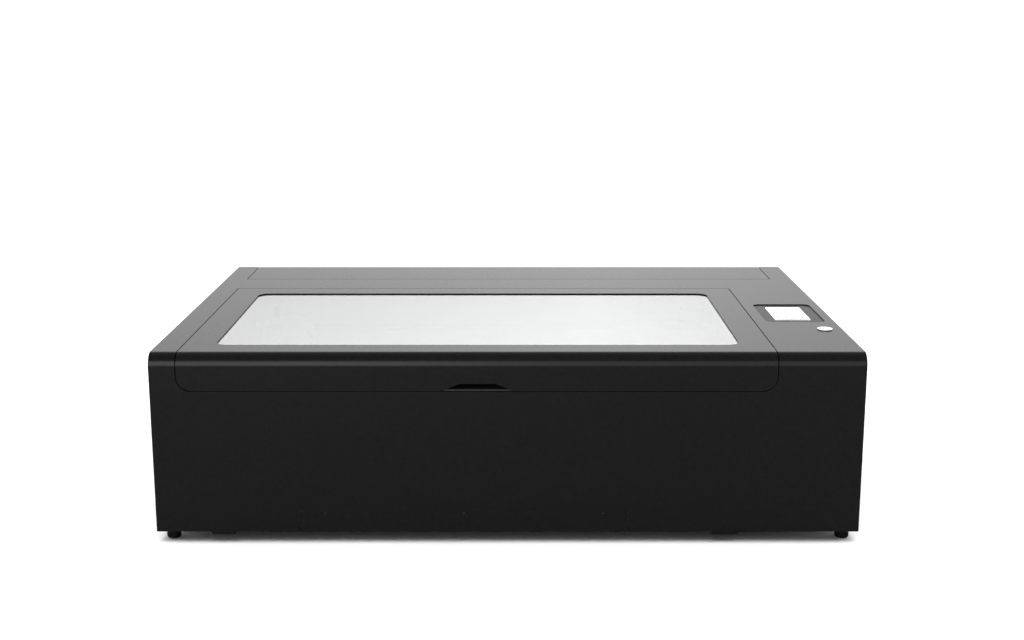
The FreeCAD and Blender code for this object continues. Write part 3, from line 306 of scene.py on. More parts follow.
DISPLAY, DISH, MASK = lit_display(), soft_touch_abs(), solder_mask()
SCREEN_GREY = screen_ink("screen_ink_grey", "#c2c6c9")
SCREEN_AMBER = screen_ink("screen_ink_amber", "#f6cf72")

# %% [markdown]
# The record gives every part of the frame a slot, and the part takes the finish of that slot. The
# two belt parts share the gasket's slot, but get the finish of a belt.

# %% Finish of every part
FINISHES = {
    "powder_coat": PAINT, "base_steel": ENAMEL, "zinc_steel": ZINC, "foot_rubber": RUBBER,
    "gasket_rubber": RUBBER, "screw_steel": STEEL, "window_acrylic": ACRYLIC, "cup_plastic": ABS,
    "display_glass": DISPLAY, "button_plastic": MILK, "black_oxide": BLACK_OXIDE,
    "bed_aluminium": BED_ALLOY, "beam_aluminium": ANODISED, "motor_black": ENAMEL,
    "tube_glass": GLASS, "supply_case": BED_ALLOY, "board_green": MASK, "socket_black": ABS,
}
for part in frame["record"]["subparts"]:
    held = frame["nodes"][part["node"]]
    held.data.materials.clear()
    held.data.materials.append(FINISHES[part["material_slot"]])
for name in ("x_belt", "y_belts"):
    frame["nodes"][name].data.materials[0] = BELT

# %% [markdown]
# ## Bench tools
# Each piece starts as a primitive, is shaped in edit mode, and gets its cut-outs from boolean
# cutters. These few helpers hold the moves that every piece needs, so that the steps below can
# say what is being made instead of how Blender selects things.

# %% Starting shapes
def hold(piece, *others):
    """Select a piece, and others with it, and make it the active one."""
    bpy.ops.object.select_all(action="DESELECT")
    for part in (*others, piece):
        part.select_set(True)
    bpy.context.view_layer.objects.active = piece


def start(name, kind, **settings):
    """Add a primitive with nothing else selected."""
    bpy.ops.object.select_all(action="DESELECT")
    getattr(bpy.ops.mesh, f"primitive_{kind}_add")(**settings)
    made = bpy.context.object
    made.name = made.data.name = name
    return made


def settle(piece):
    """Put the piece's place, turn and scale into its mesh."""
    hold(piece)
    bpy.ops.object.transform_apply(location=True, rotation=True, scale=True)
    return piece


def block(name, low, high):
    """A cube stretched between two corners."""
    low, high = Vector(low), Vector(high)
    piece = start(name, "cube", size=1, location=(low + high) / 2)
    piece.scale = high - low
    return settle(piece)


def bar(name, centre, radius, length, axis="Z", sides=40):
    """A cylinder about its centre, along an axis."""
    turn = {"X": (0, math.pi / 2, 0), "Y": (math.pi / 2, 0, 0), "Z": (0, 0, 0)}[axis]
    return settle(start(name, "cylinder", vertices=sides, radius=radius, depth=length,
                        location=centre, rotation=turn))


# %% [markdown]
# Picking goes by place and direction, never by number: a test is given the middle of each
# vertex, edge or face and the way it points, and keeps the ones that are wanted.

# %% Picking and bevelling
def pick(piece, kind, test):
    """Go to edit mode and select just the parts whose middle and direction pass the test."""
    hold(piece)
    bpy.ops.object.mode_set(mode="EDIT")
    bpy.ops.mesh.select_mode(type=kind)
    bpy.ops.mesh.select_all(action="DESELECT")
    mesh = bmesh.from_edit_mesh(piece.data)
    for part in {"VERT": mesh.verts, "EDGE": mesh.edges, "FACE": mesh.faces}[kind]:
        if kind == "VERT":
            middle, way = part.co, part.normal
        elif kind == "EDGE":
            middle = (part.verts[0].co + part.verts[1].co) / 2
            way = (part.verts[1].co - part.verts[0].co).normalized()
        else:
            middle, way = part.calc_center_median(), part.normal
        if test(middle, way):
            part.select_set(True)
    mesh.select_flush_mode()
    bmesh.update_edit_mesh(piece.data)


def done():
    """Go back to object mode."""
    bpy.ops.object.mode_set(mode="OBJECT")


def round_edges(piece, radius, test, segments=10):
    """Bevel the edges that pass the test into an arc."""
    pick(piece, "EDGE", test)
    bpy.ops.mesh.bevel(offset=radius, segments=segments, affect="EDGES", clamp_overlap=False)
    done()
    return piece


def upright(middle, way):
    """The test for edges that stand straight up."""
    return abs(way.z) > 0.99


# %% [markdown]
# Cuts, copies and turned shapes. A cutter or a pattern piece is used up, so nothing is left over
# at the end, and a turned shape is an outline pulled out of one point and spun.

# %% Cutting, repeating and turning
def modify(piece, kind, **settings):
    """Add a modifier and apply it."""
    hold(piece)
    step = piece.modifiers.new(kind.lower(), kind)
    for name, value in settings.items():
        setattr(step, name, value)
    bpy.ops.object.modifier_apply(modifier=step.name)
    return piece


def carve(piece, *cutters, operation="DIFFERENCE"):
    """Cut, keep or add with other shapes, which are used up."""
    for cutter in cutters:
        modify(piece, "BOOLEAN", object=cutter, operation=operation, solver="EXACT")
        bpy.data.meshes.remove(cutter.data)
    return piece


def join(first, *others):
    """Join other pieces into the first one."""
    hold(first, *others)
    bpy.ops.object.join()
    return first


def repeat(piece, places):
    """Copies of a piece moved by each place, joined in one; the piece itself is used up."""
    twins = []
    for place in places:
        twin = piece.copy()
        twin.data = piece.data.copy()
        bpy.context.scene.collection.objects.link(twin)
        twin.location = place
        twins.append(settle(twin))
    bpy.data.meshes.remove(piece.data)
    return join(*twins)


def mm(points):
    """Outline points given in millimetres, in metres."""
    return [(across * MM, along * MM) for across, along in points]


def lathe(name, profile, centre, axis="Z", steps=48):
    """Spin a profile of (radius, height) points about an axis through centre."""
    along = {"X": Vector((1, 0, 0)), "Y": Vector((0, 1, 0)), "Z": Vector((0, 0, 1))}[axis]
    out = {"X": Vector((0, 0, 1)), "Y": Vector((1, 0, 0)), "Z": Vector((1, 0, 0))}[axis]
    centre = Vector(centre)
    points = [centre + out * radius + along * height for radius, height in profile]
    piece = start(name, "plane", size=0.001, location=(0, 0, 0))
    bpy.ops.object.mode_set(mode="EDIT")
    bpy.ops.mesh.select_all(action="SELECT")
    bpy.ops.mesh.merge(type="CENTER")
    bpy.ops.mesh.select_mode(type="VERT")
    bpy.ops.mesh.select_all(action="SELECT")
    bpy.ops.transform.translate(value=points[0])
    for here, there in zip(points, points[1:]):
        bpy.ops.mesh.extrude_region_move(TRANSFORM_OT_translate={"value": there - here})
    bpy.ops.mesh.select_all(action="SELECT")
    bpy.ops.mesh.spin(steps=steps, angle=2 * math.pi, center=centre, axis=along)
    bpy.ops.mesh.select_all(action="SELECT")
    bpy.ops.mesh.remove_doubles(threshold=0.00001)
    bpy.ops.mesh.normals_make_consistent(inside=False)
    done()
    return piece


# %% [markdown]
# Every piece ends the same way: its sharp edges are broken as a file or a mould would, it is
# shaded smooth, given its finish, and hung on the body that moves it.

# %% Finishing
def dress(piece, body, finish, stands_for=(), edge=0.3, angle=35):
    """Soften the sharp edges, shade, give the finish, and hang the piece on its body."""
    if edge:
        modify(piece, "BEVEL", width=edge * MM, segments=2, limit_method="ANGLE",
               angle_limit=math.radians(angle), use_clamp_overlap=True)
    hold(piece)
    bpy.ops.object.shade_smooth_by_angle(angle=math.radians(angle))
    modify(piece, "WEIGHTED_NORMAL", keep_sharp=True, weight=100)
    piece.data.materials.clear()
    piece.data.materials.append(finish)
    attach(piece, body)
    if stands_for:
        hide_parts(*stands_for)
    print(f"{piece.name} on {body}: {len(piece.data.polygons)} faces")
    return piece


def soften(node, name, edge=0.4, angle=35):
    """A copy of a part that is already the right shape, merged, with its sharp edges broken."""
    source = frame["nodes"][node]
    piece = bpy.data.objects.new(name, source.data.copy())
    piece.data.name = name
    bpy.context.scene.collection.objects.link(piece)
    hold(piece)
    bpy.ops.object.mode_set(mode="EDIT")
    bpy.ops.mesh.select_all(action="SELECT")
    bpy.ops.mesh.remove_doubles(threshold=0.00001)
    bpy.ops.mesh.dissolve_limited(angle_limit=math.radians(1))
    done()
    body = next(b for b, held in frame["record"]["behaviour"]["bodies"].items() if node in held)
    return dress(piece, body, source.data.materials[0], (node,), edge, angle)


# %% [markdown]
# ## The outer skin
# Top and front are one steel sheet, bent over the front edge. A cube gives the right corner:
# all but its top and front faces are deleted, the edge between them is bevelled into the bend,
# and Solidify gives the sheet its thickness inwards. The openings are cut afterwards, as a
# punch would, and the cut edges are broken slightly so that they catch the light. Below the lid
# the sheet is folded inwards, and a strip of black rubber on the fold is painted shade: it hides
# the fold's reflection so that the seam under the lid stays dark.

# %% Outer skin
bend = 20 * MM
seam = 1.5 * MM
through = 5 * MM
lid_corner = 22 * MM
pocket_corner = 20 * MM
pocket_rim = 8 * MM
panel_height = 35.7 * MM
panel_corner = 4 * MM
lid_low, lid_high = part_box("lid_shell")
cover_low, cover_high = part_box("rear_cover")
pocket_low, pocket_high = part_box("screen_pocket")
ring_low, ring_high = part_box("button_ring")
panel_low, panel_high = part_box("access_panel")


def bent_sheet(name, low, high):
    """Top and front of a box as one sheet, bent over the front edge."""
    piece = block(name, low, high)
    pick(piece, "FACE", lambda middle, way: way.z < 0.9 and way.y > -0.9)
    bpy.ops.mesh.delete(type="FACE")
    done()
    corner = lambda middle, way: (abs(way.x) > 0.9 and middle.z > high[2] - MM
                                  and middle.y < low[1] + MM)
    round_edges(piece, bend, corner, segments=14)
    return modify(piece, "SOLIDIFY", thickness=sheet, offset=-1)


def punches():
    """Cutters for the lid, the tube cover, the screen, the button and the access panel."""
    lid_hole = block("lid_hole", (lid_low.x - seam, front - seam, lid_low.z - seam),
                     (lid_high.x + seam, lid_high.y + seam, deck + through))
    bottom = lambda middle, way: abs(way.y) > 0.9 and middle.z < lid_low.z
    round_edges(lid_hole, lid_corner + seam, bottom)
    cover_hole = block("cover_hole", (cover_low.x - seam, cover_low.y - seam, deck - through),
                       (cover_high.x + seam, back + through, deck + through))
    rim = Vector((pocket_rim, pocket_rim, 0))
    hole_low, hole_high = pocket_low + rim, pocket_high - rim
    screen_hole = block("screen_hole", (hole_low.x, hole_low.y, deck - through),
                        (hole_high.x, hole_high.y, deck + through))
    round_edges(screen_hole, pocket_corner - pocket_rim, upright)
    button_middle = (ring_low + ring_high) / 2
    button_hole = bar("button_hole", (button_middle.x, button_middle.y, deck),
                      11.5 * MM, 2 * through)
    gap = 0.45 * MM
    foot_z = skin_low.z
    panel_hole = block("panel_hole", (panel_low.x - gap, front - seam, foot_z - seam),
                       (panel_high.x + gap, front + 4 * MM, foot_z + panel_height + 0.2 * MM))
    top_corner = lambda middle, way: abs(way.y) > 0.9 and middle.z > foot_z + 10 * MM
    round_edges(panel_hole, panel_corner, top_corner, segments=6)
    return lid_hole, cover_hole, screen_hole, button_hole, panel_hole


def outer_skin():
    piece = bent_sheet("outer_skin", skin_low, skin_high)
    carve(piece, *punches())
    # the fold below the lid stiffens the edge and closes the seam
    fold_z = lid_low.z - seam
    fold = block("fold", (lid_low.x + lid_corner, front + sheet, fold_z - sheet),
                 (lid_high.x - lid_corner, front + 16 * MM, fold_z))
    ends = [block("fold_end", (x - 12 * MM, front + 2.6 * MM, fold_z - 2 * sheet),
                  (x + 12 * MM, front + 4 * MM, fold_z + 24 * MM)) for x in (lid_low.x, lid_high.x)]
    join(piece, fold, *ends)
    return dress(piece, "cabinet", PAINT, ("outer_shell",), edge=0.35)


outer_skin()
# painted shade: a dark rubber strip over the fold keeps the seam under the lid dark
seam_shade = block("seam_shade_strip", (lid_low.x + lid_corner, front + 1.9 * MM, lid_low.z - seam),
             (lid_high.x - lid_corner, front + 14 * MM, lid_low.z - 0.5 * MM))
dress(seam_shade, "cabinet", RUBBER, edge=0.2)

# %% [markdown]
# ## The lid
# The lid is the same bent sheet, narrower. Its apron hangs over the front with two large round
# corners, made by keeping only what lies inside a rounded block, and a shallow recess in its
# lower edge lets the fingers in. Folded flanges stiffen its sides underneath.

# %% Lid skin
cup_low, cup_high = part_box("finger_cup")
cup_x = (cup_low.x + cup_high.x) / 2
window_left, window_right = -459.4 * MM, 364.8 * MM
window_front, window_back = front + 62.9 * MM, front + 472.8 * MM
window_corner = 20 * MM


def lid_skin():
    low = Vector((lid_low.x, front, lid_low.z))
    piece = bent_sheet("lid_skin", low, lid_high)
    keep = block("keep", (low.x, front - seam, low.z),
                 (lid_high.x, lid_high.y + seam, deck + through))
    round_edges(keep, lid_corner, lambda middle, way: abs(way.y) > 0.9 and middle.z < low.z + MM)
    carve(piece, keep, operation="INTERSECT")
    window = block("window", (window_left, window_front, deck - through),
                   (window_right, window_back, deck + through))
    round_edges(window, window_corner, upright)
    recess = block("recess", (cup_x - 55 * MM, front - through, low.z - 0.1 * MM),
                   (cup_x + 55 * MM, front + through, low.z + 11.2 * MM))
    pick(recess, "FACE", lambda middle, way: way.z > 0.9)
    bpy.ops.transform.resize(value=(0.5, 1, 1))
    done()
    carve(piece, window, recess)
    flanges = []
    for x in (lid_low.x, lid_high.x - sheet):
        flanges.append(block("flange", (x, front + bend, deck - 14 * MM),
                             (x + sheet, lid_high.y - 40 * MM, deck - sheet)))
    # one tab beside each gas strut's eye
    for x in (-494.75 * MM, 398.45 * MM):
        flanges.append(block("strut_tab", (x, front + 460 * MM, deck - 25 * MM),
                             (x + 2 * MM, front + 480 * MM, deck - sheet)))
    join(piece, *flanges)
    return dress(piece, "lid", PAINT, ("lid_shell",), edge=0.35)


lid_skin()

# %% [markdown]
# The window is a sheet of clear acrylic with polished, slightly rounded edges, held close under
# the lid in a thin black rubber channel. The channel is a rounded block with the pane's own
# shape and the opening both cut out of it, and its corners run parallel to the window's.

# %% Window and gasket
pane_low, pane_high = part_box("lid_window")
pane_top = deck - sheet - 0.3 * MM


def pane_block(name):
    piece = block(name, (pane_low.x, pane_low.y, pane_top - 4 * MM),
                  (pane_high.x, pane_high.y, pane_top))
    return round_edges(piece, window_corner + 2 * MM, upright)


def window_pane():
    return dress(pane_block("window_pane"), "lid", ACRYLIC, ("lid_window",),
                 edge=0.4)


def gasket():
    wall = 1.5 * MM
    piece = block("gasket", (pane_low.x - wall, pane_low.y - wall, pane_low.z),
                  (pane_high.x + wall, pane_high.y + wall, deck - sheet))
    round_edges(piece, window_corner + 3 * MM, upright)
    hole = block("hole", (window_left - 2 * MM, window_front - 2 * MM, pane_low.z - wall),
                 (window_right + 2 * MM, window_back + 2 * MM, deck))
    round_edges(hole, window_corner + MM, upright)
    carve(piece, pane_block("pane_room"), hole)
    return dress(piece, "lid", RUBBER, ("window_gasket",), edge=0.1)


window_pane()
gasket()

# %% [markdown]
# Behind the recess sits a dished ABS moulding that hides the works and gives the fingers
# something to pull. Its mouth is inset and pushed back, and the bottom of the dish is scaled
# down, so that the walls slope as a moulding's must.

# %% Finger cup
def finger_dish():
    piece = block("finger_dish", cup_low, cup_high)
    pick(piece, "FACE", lambda middle, way: way.y < -0.9)
    bpy.ops.mesh.inset(thickness=2 * MM)
    depth = cup_high.y - cup_low.y - 2 * MM
    bpy.ops.mesh.extrude_region_move(TRANSFORM_OT_translate={"value": (0, depth, 0)})
    bpy.ops.transform.resize(value=(0.9, 1, 0.72))
    done()
    floor_edge = lambda middle, way: abs(middle.z - cup_low.z) > MM and (
        cup_high.y - 3 * MM < middle.y < cup_high.y - MM)
    round_edges(piece, 3 * MM, floor_edge, segments=4)
    return dress(piece, "lid", ABS, ("finger_cup",), edge=0.3)


finger_dish()

# %% [markdown]
# ## Cover over the laser tube
# A flat sheet turned down at the back, with a stiffening lip in front and two rolled hinge
# knuckles underneath.

# %% Rear cover
def rear_cover():
    piece = block("tube_cover", (cover_low.x, cover_low.y, deck - 14 * MM), cover_high)
    pick(piece, "FACE", lambda middle, way: way.z < 0.9 and way.y < 0.9)
    bpy.ops.mesh.delete(type="FACE")
    done()
    fold = lambda middle, way: abs(way.x) > 0.9 and middle.z > deck - MM and middle.y > back - MM
    round_edges(piece, 2.2 * MM, fold, segments=6)
    modify(piece, "SOLIDIFY", thickness=sheet, offset=-1)
    pieces = [block("lip", (cover_low.x + 30 * MM, cover_low.y + 4 * MM, deck - 9.5 * MM),
                    (cover_high.x - 30 * MM, cover_low.y + 5.5 * MM, deck - sheet))]
    pivot_y, pivot_z = back - 10 * MM, deck - 6 * MM
    for x in (-380 * MM, 380 * MM):
        knuckle = bar("knuckle", (x, pivot_y, pivot_z), 3 * MM, 16 * MM, "X", 28)
        leaf = block("leaf", (x - 8 * MM, pivot_y - 2.5 * MM, pivot_z),
                     (x + 8 * MM, pivot_y + 2.5 * MM, deck - sheet))
        carve(knuckle, leaf, operation="UNION")
        carve(knuckle, bar("bore", (x, pivot_y, pivot_z), 1.55 * MM, 20 * MM, "X", 24))
        pieces.append(knuckle)
    join(piece, *pieces)
    return dress(piece, "tube_cover", PAINT, ("rear_cover",), edge=0.3)


rear_cover()

# %% [markdown]
# ## Access panel and its screws
# A flush panel low on the front, held by three small button-head screws in the same black. Each
# head is turned on a lathe, and its hexagon socket is cut with a six-sided bar.

# %% Access panel
def access_plate():
    low = Vector((panel_low.x, front, skin_low.z))
    high = Vector((panel_high.x, front + sheet, skin_low.z + panel_height))
    piece = block("access_plate", low, high)
    top_corner = lambda middle, way: abs(way.y) > 0.9 and middle.z > high.z - MM
    round_edges(piece, panel_corner, top_corner, segments=6)
    middle, reach = (low.x + high.x) / 2, (high.x - low.x) / 2 - 38.9 * MM
    screw_z = high.z - 7.3 * MM
    tabs = []
    screws = []
    for way in (-1, 0, 1):
        x = middle + reach * way
        tabs.append(block("tab", (x - 10 * MM, front + sheet, screw_z - 8 * MM),
                          (x + 10 * MM, front + 2 * sheet, screw_z + 16 * MM)))
        profile = [(0, -0.4), (1.6, -0.38), (2.3, -0.2), (2.6, 0), (1.5, 0), (1.5, 8), (0, 8)]
        screw = lathe("screw", mm(profile), (x, front, screw_z), "Y", 32)
        screws.append(carve(screw, bar("socket", (x, front, screw_z), 1.1 * MM, 1.6 * MM, "Y", 6)))
    join(piece, *tabs)
    dress(piece, "cabinet", PAINT, ("access_panel",), edge=0.25)
    heads = join(screws[0], *screws[1:])
    heads.name = "access_screws"
    dress(heads, "cabinet", PAINT, ("panel_screws",), edge=0)


access_plate()

# %% [markdown]
# ## Screen and button
# The screen lies in a shallow dish let into the deck. The dish is one moulding: a rounded block
# whose middle is inset and pushed down, with a small fillet round its floor. The display is a
# slab of cover glass with a lit face, a grey bar along its lower edge and a few plain symbols.

# %% Screen dish
screen_low, screen_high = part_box("touch_screen")
screen_x = (screen_low.x + screen_high.x) / 2 - 0.5 * MM
screen_y = (screen_low.y + screen_high.y) / 2 + 2 * MM
face_w, face_l = 59.6 * MM, 102 * MM
dish_z = deck - 1.6 * MM
glass_top = dish_z + 0.3 * MM


def screen_dish():
    piece = block("screen_dish", pocket_low, pocket_high)
    round_edges(piece, pocket_corner, upright)
    hollow = block("hollow", (pocket_low.x + pocket_rim, pocket_low.y + pocket_rim, dish_z),
                   (pocket_high.x - pocket_rim, pocket_high.y - pocket_rim, deck + through))
    round_edges(hollow, pocket_corner - pocket_rim, upright, segments=12)
    round_edges(hollow, 1.2 * MM, lambda middle, way: abs(middle.z - dish_z) < 0.1 * MM, segments=4)
    reach_x, reach_y = face_w / 2 + 0.2 * MM, face_l / 2 + 0.2 * MM
    well = block("well", (screen_x - reach_x, screen_y - reach_y, dish_z - through),
                 (screen_x + reach_x, screen_y + reach_y, deck))
    round_edges(well, 2 * MM, upright, segments=5)
    carve(piece, hollow, well)
    return dress(piece, "cabinet", DISH, ("screen_pocket",), edge=0.2)


def display():
    glass = block("display", (screen_x - face_w / 2, screen_y - face_l / 2, dish_z - 2 * MM),
                  (screen_x + face_w / 2, screen_y + face_l / 2, glass_top))
    round_edges(glass, 2 * MM, upright, segments=5)
    module = block("module", (screen_low.x, screen_low.y, screen_low.z),
                   (screen_high.x, screen_high.y, dish_z - 2 * MM))
    join(glass, module)
    dress(glass, "cabinet", DISPLAY, ("touch_screen",), edge=0.3)


def mark(name, x, y, wide, tall):
    """A thin plate on the glass, placed in mm from the middle of its lower edge."""
    left, low = screen_x + x * MM, screen_y - face_l / 2 + y * MM
    return block(name, (left, low, glass_top - 0.5 * MM),
                 (left + wide * MM, low + tall * MM, glass_top + 0.15 * MM))


def display_marks():
    marks = [mark("display_marks", -26.8, 0.6, 53.6, 10.4)]
    for x, y, wide in ((-16, 60, 7), (-4, 60, 5), (14, 68, 13), (-16, 34, 9), (2, 34, 6), (14, 36, 5)):
        marks.append(mark("mark", x, y, wide, 4))
    join(*marks)
    dress(marks[0], "cabinet", SCREEN_GREY, edge=0)
    symbols = [bar("display_symbols", (screen_x + x * MM, screen_y - face_l / 2 + y * MM, glass_top),
                   2.6 * MM, 0.12 * MM) for x, y in ((-6, 90), (17, 46))]
    join(*symbols)
    dress(symbols[0], "cabinet", SCREEN_AMBER, edge=0)


screen_dish()
display()
display_marks()

# %% [markdown]
# The start button is a milk-white acrylic cap with a shallow dome, standing on a stem in a thin
# dark ring. Both are turned, so both are lathe profiles.

# %% Start button
def start_button():
    cap_low, cap_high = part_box("start_button")
    x, y = (cap_low.x + cap_high.x) / 2, (cap_low.y + cap_high.y) / 2
    reach = (cap_high.x - cap_low.x) / 2
    rise = cap_high.z - deck
    stem = 10.5 * MM
    lip = 1.2 * MM
    dome = [(reach * math.cos(t), lip + 0.4 * MM + (rise - lip - 0.4 * MM) * math.sin(t))
            for t in [math.radians(a) for a in range(0, 90, 9)]]
    profile = [(0, cap_low.z - deck), (stem, cap_low.z - deck), (stem, lip), (reach - 0.3 * MM, lip),
               *dome, (0, rise)]
    cap = lathe("start_button_cap", profile, (x, y, deck), steps=64)
    dress(cap, "button", MILK, ("start_button",), edge=0)
    outer = (ring_high.x - ring_low.x) / 2
    high, low = ring_high.z - deck, ring_low.z - deck
    wall = stem + 0.1 * MM
    ring = lathe("start_button_ring", [
        (wall, low), (outer - 1.1 * MM, low), (outer - 1.1 * MM, 0), (outer, 0), (outer, high * 0.4),
        (outer - 0.15 * MM, high), (wall, high), (wall, low)], (x, y, deck), steps=64)
    dress(ring, "cabinet", BLACK_OXIDE, ("button_ring",), edge=0)


start_button()

# %% [markdown]
# ## Feet and base
# Four turned rubber feet, each with a rounded tread and a moulding line, and under the base two
# pressed rails that carry the weight of the chamber.

# %% Feet
def rubber_feet():
    for end in ("front", "rear"):
        for hand in ("left", "right"):
            node = f"{end}_{hand}_foot"
            low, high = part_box(node)
            x, y = (low.x + high.x) / 2, (low.y + high.y) / 2
            tread = [(11 - 4 + 4 * math.sin(t), 4 - 4 * math.cos(t))
                     for t in [math.radians(a) for a in range(0, 91, 15)]]
            profile = [(0, 0.3), (5.5, 0.3), (6, 0), *tread, (11, 15), (10.6, 15.3), (10.6, 15.9),
                       (11, 16.2), (11, 22), (0, 22)]
            foot = lathe(node + "_rubber", mm(profile), (x, y, 0))
            dress(foot, "cabinet", RUBBER, (node,), edge=0)


rubber_feet()
for rail_node in ("left_base_rail", "right_base_rail"):
    soften(rail_node, rail_node + "_pressing", edge=0.8)
soften("base_pan", "base_plate", edge=0.4)

# %% [markdown]
# ## Work bed
# The bed is an aluminium honeycomb in a square frame, so that the beam has little to strike
# under the work. One open hexagon is solidified to foil thickness and arrayed: along a row, then
# to a second row half a cell over, then down the bed.

# %% Honeycomb bed
def honeycomb_bed():
    low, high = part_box("work_bed")
    top, under = high.z, high.z - 12 * MM
    left, right = low.x + 44 * MM, high.x - 44 * MM
    rim = 10 * MM
    frame_bar = block("bed_frame", (left, low.y, under), (right, high.y, top))
    carve(frame_bar, block("inside", (left + rim, low.y + rim, under - rim),
                           (right - rim, high.y - rim, top + rim)))
    cell = 14 * MM
    reach = cell / math.sqrt(3)
    across = int((right - left - 2 * rim - cell / 2) / cell)
    down = int((high.y - low.y - 2 * rim) / (3 * reach))
    x = (left + right - (across - 0.5) * cell) / 2
    y = (low.y + high.y - (2 * down - 1) * 1.5 * reach) / 2
    comb = start("comb", "cylinder", vertices=6, radius=reach, depth=11 * MM,
                 end_fill_type="NOTHING", location=(x, y, top - 6 * MM))
    settle(comb)
    modify(comb, "SOLIDIFY", thickness=0.5 * MM)
    for count, step in ((across, (cell, 0, 0)), (2, (cell / 2, 1.5 * reach, 0)),
                        (down, (0, 3 * reach, 0))):
        modify(comb, "ARRAY", count=count, use_relative_offset=False, use_constant_offset=True,
               constant_offset_displace=step)
    ties = [block("tie", (low.x, front + place * MM, low.z), (high.x, front + (place + 20) * MM, under))
            for place in (80, 270, 460)]
    join(frame_bar, comb, *ties)
    print("honeycomb", across, "by", 2 * down, "cells")
    return dress(frame_bar, "cabinet", BED_ALLOY, ("work_bed",), edge=0)


honeycomb_bed()

# %% [markdown]
# ## Parts that keep their shape
# Folded brackets, walls, rails and the panels at the sides and back are already right; in real
# sheet and bar every edge is slightly broken, so each is copied, merged and bevelled.

# %% Broken edges
for name, edge in (
    ("left_side_panel", 0.3), ("right_side_panel", 0.3), ("rear_panel", 0.3),
    ("chamber_left_wall", 0.3), ("chamber_right_wall", 0.3), ("chamber_rear_wall", 0.3),
    ("crumb_tray", 0.3), ("lid_frame", 0.3), ("lid_hinge_arms", 0.5), ("lid_hinge_brackets", 0.4),
    ("cover_hinge_brackets", 0.3), ("left_guide_rail", 0.5), ("right_guide_rail", 0.5),
    ("gantry_beam", 0.6), ("left_carriage", 1.0), ("right_carriage", 1.0), ("second_mirror", 0.4),
    ("first_mirror", 0.4), ("laser_head", 0.8), ("x_pulley", 0.2), ("tube_cradles", 0.6),
    ("drive_shaft", 0.2), ("blower_wheel", 0.3), ("power_inlet", 0.5), ("switch_housing", 0.4),
    ("rocker_switch", 0.6), ("data_ports", 0.3), ("strut_tubes", 0.5), ("strut_rods", 0.3),
    ("exhaust_blower", 0.6),
):
    soften(name, name + "_finished", edge=edge)

# %% [markdown]
# ## Screws round the panels
# The rear panel is held by screws in its upper and lower edges. One is turned, with a shallow
# round recess in its head, and the rest are copies of it.

# %% Panel screws
def panel_fixings():
    profile = [(0, -0.2), (1.4, -0.2), (1.4, 0.5), (2.6, 0.5), (3.4, 0.35), (3.6, 0), (0, 0)]
    head = lathe("rear_screw", mm(profile), (0, back, 0), "Y", 28)
    rows = mm((x, z) for x in (-535, -270, 270, 535) for z in (40, 285))
    heads = repeat(head, [(x, 0, z) for x, z in rows])
    heads.name = "rear_panel_screws"
    dress(heads, "cabinet", BLACK_OXIDE, edge=0)


panel_fixings()

# %% [markdown]
# ## Focus tube and knob
# The lens sits in a turned tube that ends in a conical nozzle, with grip grooves round its
# waist. The knob beside it is turned too, and its grip is fluted by pushing every other facet in.

# %% Lens tube and knob
def focus_parts():
    low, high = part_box("lens_tube")
    x, y = (low.x + high.x) / 2, (low.y + high.y) / 2
    profile = [(2, 0), (4.4, 0), (5, 0.6), (11.4, 15.2), (12, 16), (12, 18)]
    for height in (19, 22, 25):
        profile += [(12, height), (11.3, height + 0.6), (11.3, height + 1.6), (12, height + 2.2)]
    profile += [(12, 38.4), (11.4, 39), (9, 39), (9, 18), (2, 4), (2, 0)]
    tube = lathe("focus_tube", mm(profile), (x, y, low.z))
    dress(tube, "lens", ANODISED, ("lens_tube",), edge=0)
    low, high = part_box("focus_knob")
    centre = (low.x, y, (low.z + high.z) / 2)
    profile = [(0, 0), (2, 0), (2, 6.5), (7, 6.5), (9, 8.5), (9, 15), (8, 16), (5, 16), (4.4, 15.4),
               (0, 15.4)]
    knob = lathe("focus_grip", mm(profile), centre, "X", 60)
    place = Vector(centre)
    fluted = lambda middle, way: abs(way.x) < 0.1 and (middle - place).yz.length > 8.5 * MM and (
        round(math.degrees(math.atan2(middle.z - place.z, middle.y - place.y)) / 6 - 0.5) % 2 == 0)
    pick(knob, "FACE", fluted)
    bpy.ops.mesh.inset(thickness=0.12 * MM, depth=-0.5 * MM, use_individual=True)
    done()
    dress(knob, "focus_wheel", BLACK_OXIDE, ("focus_knob",), edge=0)


focus_parts()

# %% [markdown]
# ## Laser tube
# A glass laser has three nested tubes: the narrow bore where the gas glows, a water jacket round
# it, and the wide outer tube that stores the gas. Metal caps hold the mirrors at both ends.

